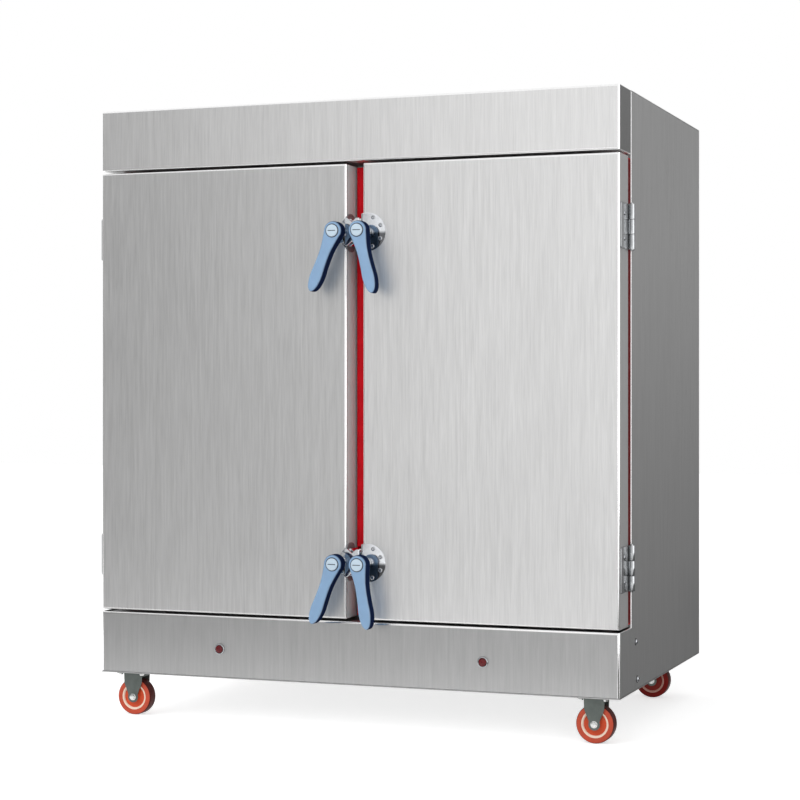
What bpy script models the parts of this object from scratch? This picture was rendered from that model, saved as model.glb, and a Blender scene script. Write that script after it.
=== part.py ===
"""Rice steamer cabinet: an insulated two-door steam cabinet on four casters.

Lengths are in metres. X runs to the right across the front, Y to the back and Z up from the floor.
The origin is the middle of the bottom of the whole object. Angles are in degrees.
"""

import math

import bmesh
import bpy
from mathutils import Matrix, Vector

# Cabinet
BODY_WIDTH = 1.100
BODY_HEIGHT = 1.160
BODY_DEPTH = 0.720
HEADER_HEIGHT = 0.124
BASE_HEIGHT = 0.126
SHEET = 0.0012
PAN_SHEET = 0.0020
FLANGE = 0.020
SKIN_BEND = 0.0024
SEAT_GAP = 0.0003
OVERRUN = 0.004
SIDE_WALL = 0.045
REAR_WALL = 0.040
FLOOR_INSULATION = 0.030

# Doors
DOOR_THICKNESS = 0.066
DOOR_SEAM = 0.0045
DOOR_GAP = 0.035
DOOR_GAP_OFFSET = 0.014
DOOR_PAD_INSET = 0.058
DOOR_PAD_DEPTH = 0.006
DOOR_PAD_BEND = 0.003

# Door seal and mullion
SEAL_THICKNESS = 0.026
SEAL_INSET = 0.002
SEAL_ROUND = 0.004
SEAL_RIB_DEPTH = 0.020
SEAL_RIB_CLEARANCE = 0.003
MULLION_WIDTH = 0.085
MULLION_DEPTH = 0.040

# Hinges and latches, from the doors' lower and upper edge to their middle
FITTING_RISE = 0.1125
FITTING_DROP = 0.1365

# Hinges
HINGE_LENGTH = 0.087
HINGE_LEAF = 0.0025
HINGE_KNUCKLE_RADIUS = 0.0065
HINGE_PIN_RADIUS = 0.0032
HINGE_PIN_HEAD = 0.0025
HINGE_RUNNING_GAP = 0.0004
HINGE_FRONT_INSET = 0.004
HINGE_REAR_REACH = 0.042
HINGE_CORNER = 0.004
HINGE_ROLL_SET = 0.0002
HINGE_KNUCKLE_PROUD = 0.0003

# Latches
LATCH_INSET = 0.026
LATCH_PLATE = 0.0035
LATCH_PLATE_RADIUS = 0.038
LATCH_PLATE_OFFSETS = {"left": -0.022, "right": 0.010}
LATCH_RETURN = 0.0020
LATCH_RETURN_DEPTH = 0.040
SPINDLE_RADIUS = 0.006
SPINDLE_CLEARANCE = 0.0003
HUB_RADIUS = 0.011
TONGUE_RADIUS = 0.022
TONGUE_THICKNESS = 0.0050
TONGUE_STANDOFF = 0.0012
TONGUE_ANGLES = (5.0, 40.0)
LEVER_LENGTH = 0.127
LEVER_HEAD_RADIUS = 0.0175
LEVER_HEAD_THICKNESS = 0.024
LEVER_TIP_THICKNESS = 0.013
LEVER_EDGE = 0.003
LEVER_FRONT = 0.055
LEVER_HEAD_ARC = (-25.0, 205.0)
LEVER_CAP_RADIUS = 0.0135
LEVER_CAP_HEIGHT = 0.003
LEVER_CAP_EDGE = 0.001
LEVER_SPLAY = {
    ("left", "upper"): 22.0,
    ("right", "upper"): 14.0,
    ("left", "lower"): 21.0,
    ("right", "lower"): 9.0,
}
# Half widths of the lever as shares of its head radius, at shares of its length below the pivot
LEVER_WIDTH_SHARES = ((0.26, 0.74), (0.47, 0.66), (0.80, 0.78), (0.94, 0.52))

# Keepers between the doors
KEEPER_HEIGHT = 0.054
KEEPER_CLEARANCE = 0.003
KEEPER_HEAD = 0.0048
KEEPER_NECK_WIDTH = 0.009
KEEPER_BLOCK_INSET = 0.003
KEEPER_NOTCH_WIDTH = 0.018
KEEPER_NOTCH_DEPTH = 0.008
TONGUE_RUNNING_GAP = 0.0010

# Indicator lamps
LAMP_OFFSET = 0.280
LAMP_HEIGHT = 0.059
LAMP_BEZEL_RADIUS = 0.011
LAMP_BEZEL_PROUD = 0.0035
LAMP_BEZEL_ROUND = 0.001
LAMP_BORE_RADIUS = 0.0080
LAMP_SHANK_RADIUS = 0.0094
LAMP_SHANK_LENGTH = 0.022
LAMP_LENS_RADIUS = 0.0076
LAMP_LENS_PROUD = 0.0055

# Water tank, false floor and tray racks
TANK_DEPTH = 0.094
TANK_SIDE_MARGIN = 0.050
TANK_FRONT_MARGIN = 0.055
TANK_BACK_MARGIN = 0.038
FLOOR_SHEET = 0.0015
FLOOR_CLEARANCE = 0.0010
SLOT_LENGTH = 0.160
SLOT_WIDTH = 0.012
SLOT_ROWS = 4
SLOT_COLUMNS = 2
SLOT_COLUMN_PITCH = 0.190
RACK_CLEARANCE = 0.002
RACK_POST = 0.018
RACK_TIE = 0.004
RACK_TOP_SPACE = 0.010
RACK_END_SPACE = 0.010
RAIL_LEVELS = 12
RAIL_FIRST = 0.050
RAIL_TOP_ROOM = 0.0669
RAIL_SHELF = 0.015
RAIL_BAR = 0.003
RAIL_LAP = 0.0010
RAIL_SET = 0.0060

# Heaters
HEATER_RADIUS = 0.006
HEATER_HEIGHT = 0.030
HEATER_LEG_OFFSETS = (0.110, 0.350)
HEATER_BACK_SPACE = 0.050
HEATER_BEND_POINTS = 7
HEATER_COLLAR_RADIUS = 0.015
HEATER_COLLAR = 0.005
HEATER_TERMINAL = 0.026
HEATER_CLEARANCE = 0.0005

# Float valve
FLOAT_HEIGHT = 0.066
FLOAT_TAIL_RADIUS = 0.008
FLOAT_TAIL_REACH = 0.024
FLOAT_COLLAR_RADIUS = 0.014
FLOAT_COLLAR = 0.006
FLOAT_NOSE_RADIUS = 0.0095
FLOAT_NOSE = 0.022
FLOAT_EYE = 0.006
FLOAT_EYE_LENGTH = 0.016
FLOAT_PIN_RADIUS = 0.0025
FLOAT_PIN_LENGTH = 0.020
FLOAT_CHEEK = 0.0035
FLOAT_CHEEK_HEIGHT = 0.014
FLOAT_ROD_RADIUS = 0.0025
FLOAT_ROD_LENGTH = 0.085
FLOAT_BALL_RADIUS = 0.024
FLOAT_DROP = 0.030
FLOAT_CLEARANCE = 0.0006

# Drain
DRAIN_OFFSET = 0.300
DRAIN_BACK_SPACE = 0.060
DRAIN_HEIGHT = 0.036
DRAIN_PIPE_RADIUS = 0.0125
DRAIN_BORE_RADIUS = 0.0090
DRAIN_BORE_DEPTH = 0.012
DRAIN_ELBOW = 0.020
DRAIN_ELBOW_POINTS = 5
DRAIN_REACH = 0.075
DRAIN_VALVE_RADIUS = 0.021
DRAIN_VALVE_LENGTH = 0.040
DRAIN_VALVE_SPACE = 0.020
DRAIN_STEM_RADIUS = 0.005
DRAIN_NUT_RADIUS = 0.009
DRAIN_NUT_HEIGHT = 0.005
DRAIN_HANDLE = 0.004
DRAIN_HANDLE_LENGTH = 0.095
DRAIN_HANDLE_WIDTH = 0.018
DRAIN_HANDLE_GAP = 0.0005

# Steam vent and cable gland
VENT_BORE_RADIUS = 0.016
VENT_RADIUS = 0.018
VENT_FLANGE_RADIUS = 0.033
VENT_FLANGE = 0.003
VENT_REACH = 0.038
VENT_LIP = 0.004
VENT_DROP = 0.060
GLAND_INSET = 0.130
GLAND_HEIGHT = 0.065
GLAND_BORE_RADIUS = 0.0075
GLAND_SHANK_RADIUS = 0.012
GLAND_SHANK = 0.012
GLAND_FLANGE_RADIUS = 0.019
GLAND_FLANGE = 0.008
GLAND_DOME_RADIUS = 0.016
GLAND_MOUTH_RADIUS = 0.011
GLAND_DOME = 0.020
HOLE_CLEARANCE = 0.0008

# Casters
CASTER_HEIGHT = 0.091
CASTER_SIDE_INSET = 0.057
CASTER_FRONT_INSET = 0.047
CASTER_REAR_INSET = 0.072
CASTER_PLATE_SIZE = 0.064
CASTER_PLATE = 0.003
CASTER_PLATE_CORNER = 0.006
CASTER_TRAIL = 0.030
WHEEL_RADIUS = 0.0375
WHEEL_WIDTH = 0.028
WHEEL_SHOULDER = 0.004
WHEEL_RING_RADIUS = 0.0255
WHEEL_HUB_RADIUS = 0.0205
WHEEL_RECESS = 0.0035
WHEEL_BOSS_RADIUS = 0.0095
WHEEL_BOSS_PROUD = 0.001
WHEEL_BORE_CLEARANCE = 0.0004
AXLE_RADIUS = 0.004
AXLE_HEAD_RADIUS = 0.0078
AXLE_HEAD = 0.005
FORK_SHEET = 0.0026
FORK_CLEARANCE = 0.0012
FORK_TOP_WIDTH = 0.044
FORK_FOOT_RADIUS = 0.0115
FORK_FOOT_ARC = (-200.0, 20.0)
FORK_FOOT_POINTS = 6
FORK_LAP = 0.001
RACE_RADIUS = 0.023
RACE_HEIGHT = 0.007
KINGPIN_RADIUS = 0.005
KINGPIN_CLEARANCE = 0.0004

# Facets
ROUND_SIDES = 24
WHEEL_SIDES = 24
SMALL_SIDES = 12
ARC_STEPS = 3
SLOT_STEPS = 2
LEVER_STEPS = 2
PLATE_STEPS = 14
HEX_SIDES = 6
BEVEL_SEGMENTS = 2
SMOOTH_ANGLE = 35.0

SIDES = {"left": -1.0, "right": 1.0}

# Places that follow from the sizes above
HALF_WIDTH = BODY_WIDTH / 2
LATCH_REACH = LEVER_FRONT + LEVER_CAP_HEIGHT
FACE_Y = (LATCH_REACH - BODY_DEPTH - DRAIN_REACH) / 2
DOOR_BACK_Y = FACE_Y + DOOR_THICKNESS
FRAME_Y = DOOR_BACK_Y + SEAL_THICKNESS + 2 * SEAT_GAP
BACK_Y = FACE_Y + BODY_DEPTH
BASE_Z = CASTER_HEIGHT
BASE_TOP_Z = BASE_Z + BASE_HEIGHT
TOP_Z = BASE_Z + BODY_HEIGHT
LID_Z = TOP_Z - SHEET - SEAT_GAP
ATTIC_Z = LID_Z - SHEET - SEAT_GAP
DOOR_LOW_Z = BASE_TOP_Z + DOOR_SEAM
DOOR_HIGH_Z = TOP_Z - HEADER_HEIGHT - DOOR_SEAM
FITTING_HEIGHTS = {"lower": DOOR_LOW_Z + FITTING_RISE, "upper": DOOR_HIGH_Z - FITTING_DROP}
DOOR_EDGES = {side: DOOR_GAP_OFFSET + sign * DOOR_GAP / 2 for side, sign in SIDES.items()}
CHAMBER_HALF = HALF_WIDTH - SIDE_WALL
CHAMBER_LOW_Z = DOOR_LOW_Z + SIDE_WALL
CHAMBER_HIGH_Z = DOOR_HIGH_Z - SIDE_WALL
CHAMBER_BACK_Y = BACK_Y - REAR_WALL
TANK_HALF = CHAMBER_HALF - TANK_SIDE_MARGIN
TANK_FRONT_Y = FRAME_Y + TANK_FRONT_MARGIN
TANK_BACK_Y = CHAMBER_BACK_Y - TANK_BACK_MARGIN
TANK_LOW_Z = CHAMBER_LOW_Z - TANK_DEPTH
HINGE_AXIS_X = HALF_WIDTH + SEAT_GAP + HINGE_KNUCKLE_RADIUS + HINGE_ROLL_SET
HINGE_AXIS_Y = DOOR_BACK_Y
PLATE_FRONT_Y = FACE_Y - SEAT_GAP - LATCH_PLATE
TONGUE_BACK_Y = PLATE_FRONT_Y - TONGUE_STANDOFF
TONGUE_FRONT_Y = TONGUE_BACK_Y - TONGUE_THICKNESS
LEVER_FRONT_Y = FACE_Y - LEVER_FRONT
LEVER_BACK_Y = LEVER_FRONT_Y + LEVER_HEAD_THICKNESS
KEEPER_HALF = DOOR_GAP / 2 - KEEPER_CLEARANCE
FLOOR_Z = CHAMBER_LOW_Z + SEAT_GAP
RACK_Z = FLOOR_Z + FLOOR_SHEET + SEAT_GAP
RACK_WIDTH = CHAMBER_HALF - DOOR_GAP_OFFSET - MULLION_WIDTH / 2 - 2 * RACK_CLEARANCE
FORK_HALF = WHEEL_WIDTH / 2 + WHEEL_BOSS_PROUD + FORK_CLEARANCE
CASTER_TOP_Z = BASE_Z - SEAT_GAP


def clear_scene():
    """Removes what the scene holds, so that the cabinet stands alone."""
    for obj in list(bpy.data.objects):
        bpy.data.objects.remove(obj, do_unlink=True)


def new_collection(name):
    collection = bpy.data.collections.new(name)
    bpy.context.scene.collection.children.link(collection)
    return collection


def new_material(name, colour, roughness, metallic):
    material = bpy.data.materials.new(name)
    material.use_nodes = True
    shader = material.node_tree.nodes["Principled BSDF"]
    shader.inputs["Base Color"].default_value = (*colour, 1.0)
    shader.inputs["Roughness"].default_value = roughness
    shader.inputs["Metallic"].default_value = metallic
    material.diffuse_color = (*colour, 1.0)
    return material


FINISHES = {
    "brushed_steel": ((0.62, 0.62, 0.61), 0.34, 1.0),
    "inner_steel": ((0.66, 0.66, 0.65), 0.28, 1.0),
    "chrome": ((0.82, 0.82, 0.82), 0.10, 1.0),
    "zinc": ((0.42, 0.44, 0.44), 0.42, 1.0),
    "insulation": ((0.80, 0.74, 0.52), 0.95, 0.0),
    "red_silicone": ((0.55, 0.02, 0.03), 0.45, 0.0),
    "blue_plastic": ((0.28, 0.42, 0.66), 0.25, 0.0),
    "wheel_red": ((0.62, 0.12, 0.05), 0.38, 0.0),
    "lamp_red": ((0.60, 0.01, 0.01), 0.18, 0.0),
    "brass": ((0.72, 0.53, 0.24), 0.30, 1.0),
    "black_nylon": ((0.03, 0.03, 0.03), 0.55, 0.0),
    "red_vinyl": ((0.55, 0.04, 0.03), 0.50, 0.0),
}


class Workshop:
    """Holds the collections and makes the cabinet's objects in them."""

    def __init__(self):
        self.parts = new_collection("rice_steamer_cabinet")
        self.tools = new_collection("cutters")
        self.tools.hide_render = True
        self.count = 0

    def part(self, name, mesh, finish, place=None):
        """Adds a mesh as a sub-part, with its own material of the named finish."""
        obj = bpy.data.objects.new(name, mesh)
        self.parts.objects.link(obj)
        obj.matrix_world = place or Matrix.Identity(4)
        mesh.materials.append(new_material(name + "_" + finish, *FINISHES[finish]))
        mesh.shade_smooth()
        mesh.set_sharp_from_angle(angle=math.radians(SMOOTH_ANGLE))
        return obj

    def tool(self, mesh, place=None):
        """Adds a mesh as a hidden cutter or filler of a Boolean."""
        self.count += 1
        obj = bpy.data.objects.new("tool_" + str(self.count), mesh)
        self.tools.objects.link(obj)
        obj.matrix_world = place or Matrix.Identity(4)
        obj.hide_render = True
        obj.display_type = "WIRE"
        return obj

    def pivot(self, name, place, parent=None):
        """Adds an empty on a joint's axis."""
        empty = bpy.data.objects.new(name, None)
        self.parts.objects.link(empty)
        empty.location = place
        if parent:
            attach(empty, parent)
        return empty


def attach(child, pivot):
    """Parents a child to an unturned pivot without moving it."""
    child.parent = pivot
    child.matrix_parent_inverse = Matrix.Translation(pivot.location).inverted()


def boolean(obj, tool, operation):
    modifier = obj.modifiers.new(operation.lower(), "BOOLEAN")
    modifier.operation = operation
    modifier.solver = "EXACT"
    modifier.object = tool


def cut(obj, *tools):
    for tool in tools:
        boolean(obj, tool, "DIFFERENCE")


def join(obj, *tools):
    for tool in tools:
        boolean(obj, tool, "UNION")


def bevel(obj, width, segments=BEVEL_SEGMENTS, angle=SMOOTH_ANGLE):
    modifier = obj.modifiers.new("bevel", "BEVEL")
    modifier.width = width
    modifier.segments = segments
    modifier.limit_method = "ANGLE"
    modifier.angle_limit = math.radians(angle)


def solidify(obj, thickness):
    modifier = obj.modifiers.new("sheet", "SOLIDIFY")
    modifier.thickness = thickness
    modifier.offset = -1.0
    modifier.use_even_offset = True


def mesh_from(work, name):
    mesh = bpy.data.meshes.new(name)
    work.to_mesh(mesh)
    work.free()
    return mesh


def box_mesh(name, *extents):
    """One closed box for each (low corner, high corner)."""
    work = bmesh.new()
    for low, high in extents:
        low = Vector(low)
        high = Vector(high)
        size = Matrix.Diagonal((*(high - low), 1.0))
        bmesh.ops.create_cube(work, size=1.0, matrix=Matrix.Translation((low + high) / 2) @ size)
    return mesh_from(work, name)


def open_box_mesh(name, low, high, open_axis, open_sign):
    """A box without the face that looks along the open axis."""
    work = bmesh.new()
    low = Vector(low)
    high = Vector(high)
    size = Matrix.Diagonal((*(high - low), 1.0))
    bmesh.ops.create_cube(work, size=1.0, matrix=Matrix.Translation((low + high) / 2) @ size)
    work.normal_update()
    opened = [face for face in work.faces if face.normal[open_axis] * open_sign > abs(face.normal.length) / 2]
    bmesh.ops.delete(work, geom=opened, context="FACES")
    return mesh_from(work, name)


def folded_panel_mesh(name, outline, folds, flange, inward):
    """A flat panel with flanges turned inward along the edges that folds lists by their first corner."""
    work = bmesh.new()
    inward = Vector(inward)
    corners = [work.verts.new(point) for point in outline]
    turned = {}
    for first in folds:
        for index in (first, (first + 1) % len(outline)):
            if index not in turned:
                turned[index] = work.verts.new(Vector(outline[index]) + inward * flange)
    work.faces.new(corners)
    for first in folds:
        after = (first + 1) % len(outline)
        work.faces.new((corners[after], corners[first], turned[first], turned[after]))
    work.normal_update()
    work.faces.ensure_lookup_table()
    if work.faces[0].normal.dot(inward) > 0:
        bmesh.ops.reverse_faces(work, faces=work.faces)
    return mesh_from(work, name)


def bent_sheet_mesh(name, profile, low_x, high_x):
    """An open sheet: a side profile of (y, z) points carried along X, outer side out."""
    work = bmesh.new()
    lows = [work.verts.new((low_x, y, z)) for y, z in profile]
    highs = [work.verts.new((high_x, y, z)) for y, z in profile]
    for index in range(len(profile) - 1):
        work.faces.new((lows[index], highs[index], highs[index + 1], lows[index + 1]))
    return mesh_from(work, name)


def rod_mesh(name, radius, start, end, sides=SMALL_SIDES, end_radius=None):
    """A closed cylinder or cone between two points."""
    start = Vector(start)
    end = Vector(end)
    turn = (end - start).to_track_quat("Z", "Y").to_matrix().to_4x4()
    work = bmesh.new()
    bmesh.ops.create_cone(
        work,
        cap_ends=True,
        segments=sides,
        radius1=radius,
        radius2=radius if end_radius is None else end_radius,
        depth=(end - start).length,
        matrix=Matrix.Translation((start + end) / 2) @ turn,
    )
    return mesh_from(work, name)


def evaluated_mesh(obj, name):
    """The welded mesh of a curve or of an object with modifiers, in world space. The object is removed."""
    bpy.context.view_layer.update()
    graph = bpy.context.evaluated_depsgraph_get()
    mesh = bpy.data.meshes.new_from_object(obj.evaluated_get(graph))
    mesh.transform(obj.matrix_world)
    mesh.name = name
    work = bmesh.new()
    work.from_mesh(mesh)
    bmesh.ops.remove_doubles(work, verts=work.verts, dist=SEAT_GAP / 100)
    bmesh.ops.recalc_face_normals(work, faces=work.faces)
    work.to_mesh(mesh)
    work.free()
    bpy.data.objects.remove(obj, do_unlink=True)
    return mesh


def outline_curve(workshop, name, points, thickness, smooth=0):
    """A flat closed outline in its own XY plane, filled and extruded; smooth gives Bezier steps."""
    curve = bpy.data.curves.new(name, "CURVE")
    curve.dimensions = "2D"
    curve.fill_mode = "BOTH"
    curve.extrude = thickness / 2
    spline = curve.splines.new("BEZIER" if smooth else "POLY")
    if smooth:
        curve.resolution_u = smooth
        spline.bezier_points.add(len(points) - 1)
        for knot, (x, y) in zip(spline.bezier_points, points):
            knot.co = (x, y, 0.0)
            knot.handle_left_type = "AUTO"
            knot.handle_right_type = "AUTO"
    else:
        spline.points.add(len(points) - 1)
        for knot, (x, y) in zip(spline.points, points):
            knot.co = (x, y, 0.0, 1.0)
    spline.use_cyclic_u = True
    obj = bpy.data.objects.new(name, curve)
    workshop.tools.objects.link(obj)
    return obj


def plate_mesh(workshop, name, points, thickness, place, smooth=0):
    obj = outline_curve(workshop, name, points, thickness, smooth)
    obj.matrix_world = place
    return evaluated_mesh(obj, name)


def tube_mesh(workshop, name, points, radius, bevel_resolution=2):
    """A closed tube along the points."""
    curve = bpy.data.curves.new(name, "CURVE")
    curve.dimensions = "3D"
    curve.bevel_depth = radius
    curve.bevel_resolution = bevel_resolution
    curve.use_fill_caps = True
    spline = curve.splines.new("POLY")
    spline.points.add(len(points) - 1)
    for knot, point in zip(spline.points, points):
        knot.co = (*point, 1.0)
    obj = bpy.data.objects.new(name, curve)
    workshop.tools.objects.link(obj)
    return evaluated_mesh(obj, name)


def turned_mesh(name, profile, closed=False):
    """A profile of (radius, height) points, top to bottom on the outer side, to be turned by a Screw."""
    work = bmesh.new()
    points = [work.verts.new((radius, 0.0, height)) for radius, height in profile]
    for first, second in zip(points, points[1:]):
        work.edges.new((first, second))
    if closed:
        work.edges.new((points[-1], points[0]))
    return mesh_from(work, name)


def turn(obj, sides=ROUND_SIDES):
    modifier = obj.modifiers.new("turn", "SCREW")
    modifier.steps = sides
    modifier.render_steps = sides
    modifier.use_merge_vertices = True
    modifier.merge_threshold = SEAT_GAP / 100
    modifier.use_normal_calculate = False


def along_y(x, y, z):
    """A place whose own Z looks to the front of the cabinet, along -Y."""
    return Matrix.Translation((x, y, z)) @ Matrix.Rotation(math.radians(90.0), 4, "X")


def arc(centre, radius, start, end, steps):
    """Points of an arc in the plane, angles in degrees."""
    angles = [math.radians(start + (end - start) * step / steps) for step in range(steps + 1)]
    return [(centre[0] + radius * math.cos(a), centre[1] + radius * math.sin(a)) for a in angles]


def drill(workshop, radius, start, end, *objects, sides=SMALL_SIDES):
    """Cuts one round hole through each of the objects."""
    tool = workshop.tool(rod_mesh("drill", radius, start, end, sides))
    for obj in objects:
        cut(obj, tool)


def make_side_panel(workshop, side, sign):
    """The L-shaped outer skin: its foot runs forward beside the base panel."""
    low = BASE_Z + PAN_SHEET + SEAT_GAP
    back = BACK_Y - SHEET - SEAT_GAP
    outline = [
        (FACE_Y, low),
        (back, low),
        (back, LID_Z),
        (FRAME_Y, LID_Z),
        (FRAME_Y, BASE_TOP_Z),
        (FACE_Y, BASE_TOP_Z),
    ]
    points = [(sign * HALF_WIDTH, y, z) for y, z in outline]
    mesh = folded_panel_mesh("side_panel", points, (0, 1, 2), FLANGE, (-sign, 0.0, 0.0))
    panel = workshop.part("side_panel_" + side, mesh, "brushed_steel")
    solidify(panel, SHEET)
    return panel


def make_back_panel(workshop):
    low = (-HALF_WIDTH, BACK_Y - SHEET, BASE_Z + PAN_SHEET + SEAT_GAP)
    high = (HALF_WIDTH, BACK_Y, LID_Z)
    return workshop.part("back_panel", box_mesh("back_panel", (low, high)), "brushed_steel")


def make_top_panel(workshop):
    low = (-HALF_WIDTH, FRAME_Y, TOP_Z - SHEET)
    high = (HALF_WIDTH, BACK_Y, TOP_Z)
    return workshop.part("top_panel", box_mesh("top_panel", (low, high)), "brushed_steel")


def make_header(workshop):
    """The front header, as deep as the doors and their seal, open towards the frame."""
    low = (-HALF_WIDTH, FACE_Y, TOP_Z - HEADER_HEIGHT)
    high = (HALF_WIDTH, FRAME_Y - SEAT_GAP, TOP_Z)
    mesh = open_box_mesh("header_shell", low, high, 1, 1.0)
    header = workshop.part("header_shell", mesh, "brushed_steel")
    bevel(header, SKIN_BEND)
    solidify(header, SHEET)
    return header


def make_base_front(workshop):
    """The front panel of the base, with a shelf under the doors and a foot on the base pan."""
    low = BASE_Z + PAN_SHEET + SHEET + 2 * SEAT_GAP
    profile = [
        (FACE_Y + FLANGE, low),
        (FACE_Y, low),
        (FACE_Y, BASE_TOP_Z),
        (FRAME_Y - SEAT_GAP, BASE_TOP_Z),
    ]
    half = HALF_WIDTH - SHEET - SEAT_GAP
    mesh = bent_sheet_mesh("base_front_panel", profile, -half, half)
    panel = workshop.part("base_front_panel", mesh, "brushed_steel")
    bevel(panel, SKIN_BEND)
    solidify(panel, SHEET)
    return panel


def make_base_pan(workshop):
    low = (-HALF_WIDTH, FACE_Y, BASE_Z)
    high = (HALF_WIDTH, BACK_Y, BASE_Z + PAN_SHEET)
    return workshop.part("base_pan", box_mesh("base_pan", (low, high)), "zinc")


def chamber_box(margin, front):
    """Corners of the chamber, grown by a margin, from a front plane back."""
    low = (-CHAMBER_HALF - margin, front, CHAMBER_LOW_Z - margin)
    high = (CHAMBER_HALF + margin, CHAMBER_BACK_Y + margin, CHAMBER_HIGH_Z + margin)
    return low, high


def tank_box(margin, top):
    """Corners of the tank, grown by a margin, up to a given height."""
    low = (-TANK_HALF - margin, TANK_FRONT_Y - margin, TANK_LOW_Z - margin)
    high = (TANK_HALF + margin, TANK_BACK_Y + margin, top)
    return low, high


def make_liner(workshop):
    """The welded steam chamber: inner box, sunk water tank and front frame in one sheet shell."""
    mesh = box_mesh("chamber_liner", chamber_box(SHEET, FRAME_Y))
    liner = workshop.part("chamber_liner", mesh, "inner_steel")
    half = HALF_WIDTH - SHEET - SEAT_GAP
    frame = ((-half, FRAME_Y, BASE_TOP_Z - FLANGE), (half, FRAME_Y + SHEET, ATTIC_Z))
    join(liner, workshop.tool(box_mesh("front_frame", frame)))
    join(liner, workshop.tool(box_mesh("tank", tank_box(SHEET, CHAMBER_LOW_Z))))
    cut(liner, workshop.tool(box_mesh("chamber_space", chamber_box(0.0, FRAME_Y - OVERRUN))))
    cut(liner, workshop.tool(box_mesh("tank_space", tank_box(0.0, CHAMBER_LOW_Z + OVERRUN))))
    return liner


def make_jacket(workshop):
    """The insulation between the chamber and the outer skins."""
    half = HALF_WIDTH - SHEET - SEAT_GAP
    low = (-half, FRAME_Y + SHEET + SEAT_GAP, CHAMBER_LOW_Z - FLOOR_INSULATION)
    high = (half, BACK_Y - 2 * (SHEET + SEAT_GAP), ATTIC_Z)
    jacket = workshop.part("insulation_jacket", box_mesh("insulation_jacket", (low, high)), "insulation")
    margin = SHEET + SEAT_GAP
    cut(jacket, workshop.tool(box_mesh("chamber_room", chamber_box(margin, FRAME_Y - OVERRUN))))
    cut(jacket, workshop.tool(box_mesh("tank_room", tank_box(margin, CHAMBER_LOW_Z + margin))))
    return jacket


def make_mullion(workshop):
    """The folded post that both doors close on."""
    low = (DOOR_GAP_OFFSET - MULLION_WIDTH / 2, FRAME_Y, CHAMBER_LOW_Z + SEAT_GAP)
    high = (DOOR_GAP_OFFSET + MULLION_WIDTH / 2, FRAME_Y + MULLION_DEPTH, CHAMBER_HIGH_Z - SEAT_GAP)
    mullion = workshop.part("mullion", open_box_mesh("mullion", low, high, 1, 1.0), "inner_steel")
    bevel(mullion, SKIN_BEND)
    solidify(mullion, SHEET)
    return mullion


def make_seal(workshop):
    """The silicone seal: a frame with a middle bar, whose rib fills the gap between the doors."""
    front = DOOR_BACK_Y + SEAT_GAP
    back = front + SEAL_THICKNESS
    low = (-HALF_WIDTH + SEAL_INSET, front, DOOR_LOW_Z + SEAL_INSET)
    high = (HALF_WIDTH - SEAL_INSET, back, DOOR_HIGH_Z - SEAL_INSET)
    seal = workshop.part("door_seal", box_mesh("door_seal", (low, high)), "red_silicone")
    bevel(seal, SEAL_ROUND)
    half_bar = MULLION_WIDTH / 2
    windows = []
    for start, end in (
        (-CHAMBER_HALF, DOOR_GAP_OFFSET - half_bar),
        (DOOR_GAP_OFFSET + half_bar, CHAMBER_HALF),
    ):
        window_low = (start, front - OVERRUN, CHAMBER_LOW_Z)
        window_high = (end, back + OVERRUN, CHAMBER_HIGH_Z)
        windows.append((window_low, window_high))
    cut(seal, workshop.tool(box_mesh("seal_windows", *windows)))
    half_rib = DOOR_GAP / 2 - SEAL_RIB_CLEARANCE
    rib_low = (DOOR_GAP_OFFSET - half_rib, DOOR_BACK_Y - SEAL_RIB_DEPTH, low[2])
    rib_high = (DOOR_GAP_OFFSET + half_rib, front + SEAL_ROUND, high[2])
    rib = workshop.tool(box_mesh("seal_rib", (rib_low, rib_high)))
    bevel(rib, SEAL_ROUND)
    join(seal, rib)
    spaces = []
    for height in FITTING_HEIGHTS.values():
        half_height = KEEPER_HEIGHT / 2 + SEAT_GAP
        space_low = (rib_low[0] - SEAT_GAP, rib_low[1] - OVERRUN, height - half_height)
        space_high = (rib_high[0] + SEAT_GAP, back + OVERRUN, height + half_height)
        spaces.append((space_low, space_high))
    cut(seal, workshop.tool(box_mesh("keeper_spaces", *spaces)))
    return seal


def make_keeper(workshop, level):
    """The chromed post that the latch tongues catch, notched at both ends."""
    height = FITTING_HEIGHTS[level]
    neck = KEEPER_NECK_WIDTH / 2
    head_back = TONGUE_FRONT_Y - TONGUE_RUNNING_GAP
    head_front = head_back - KEEPER_HEAD
    block_front = FACE_Y + KEEPER_BLOCK_INSET
    back = FRAME_Y - SEAT_GAP
    outline = [
        (-KEEPER_HALF, head_front),
        (KEEPER_HALF, head_front),
        (KEEPER_HALF, head_back),
        (neck, head_back),
        (neck, block_front),
        (KEEPER_HALF, block_front),
        (KEEPER_HALF, back),
        (-KEEPER_HALF, back),
        (-KEEPER_HALF, block_front),
        (-neck, block_front),
        (-neck, head_back),
        (-KEEPER_HALF, head_back),
    ]
    place = Matrix.Translation((DOOR_GAP_OFFSET, 0.0, height))
    mesh = plate_mesh(workshop, "keeper", outline, KEEPER_HEIGHT, place)
    keeper = workshop.part("keeper_" + level, mesh, "chrome")
    half = KEEPER_NOTCH_WIDTH / 2
    span = back - head_front + 2 * OVERRUN
    for sign in (-1.0, 1.0):
        end = KEEPER_HEIGHT / 2
        notch = [
            (0.0, sign * (end - KEEPER_NOTCH_DEPTH)),
            (half, sign * (end + OVERRUN / 2)),
            (-half, sign * (end + OVERRUN / 2)),
        ]
        place = along_y(DOOR_GAP_OFFSET, (back + head_front) / 2, height)
        cut(keeper, workshop.tool(plate_mesh(workshop, "notch", notch, span, place)))
    return keeper


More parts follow.
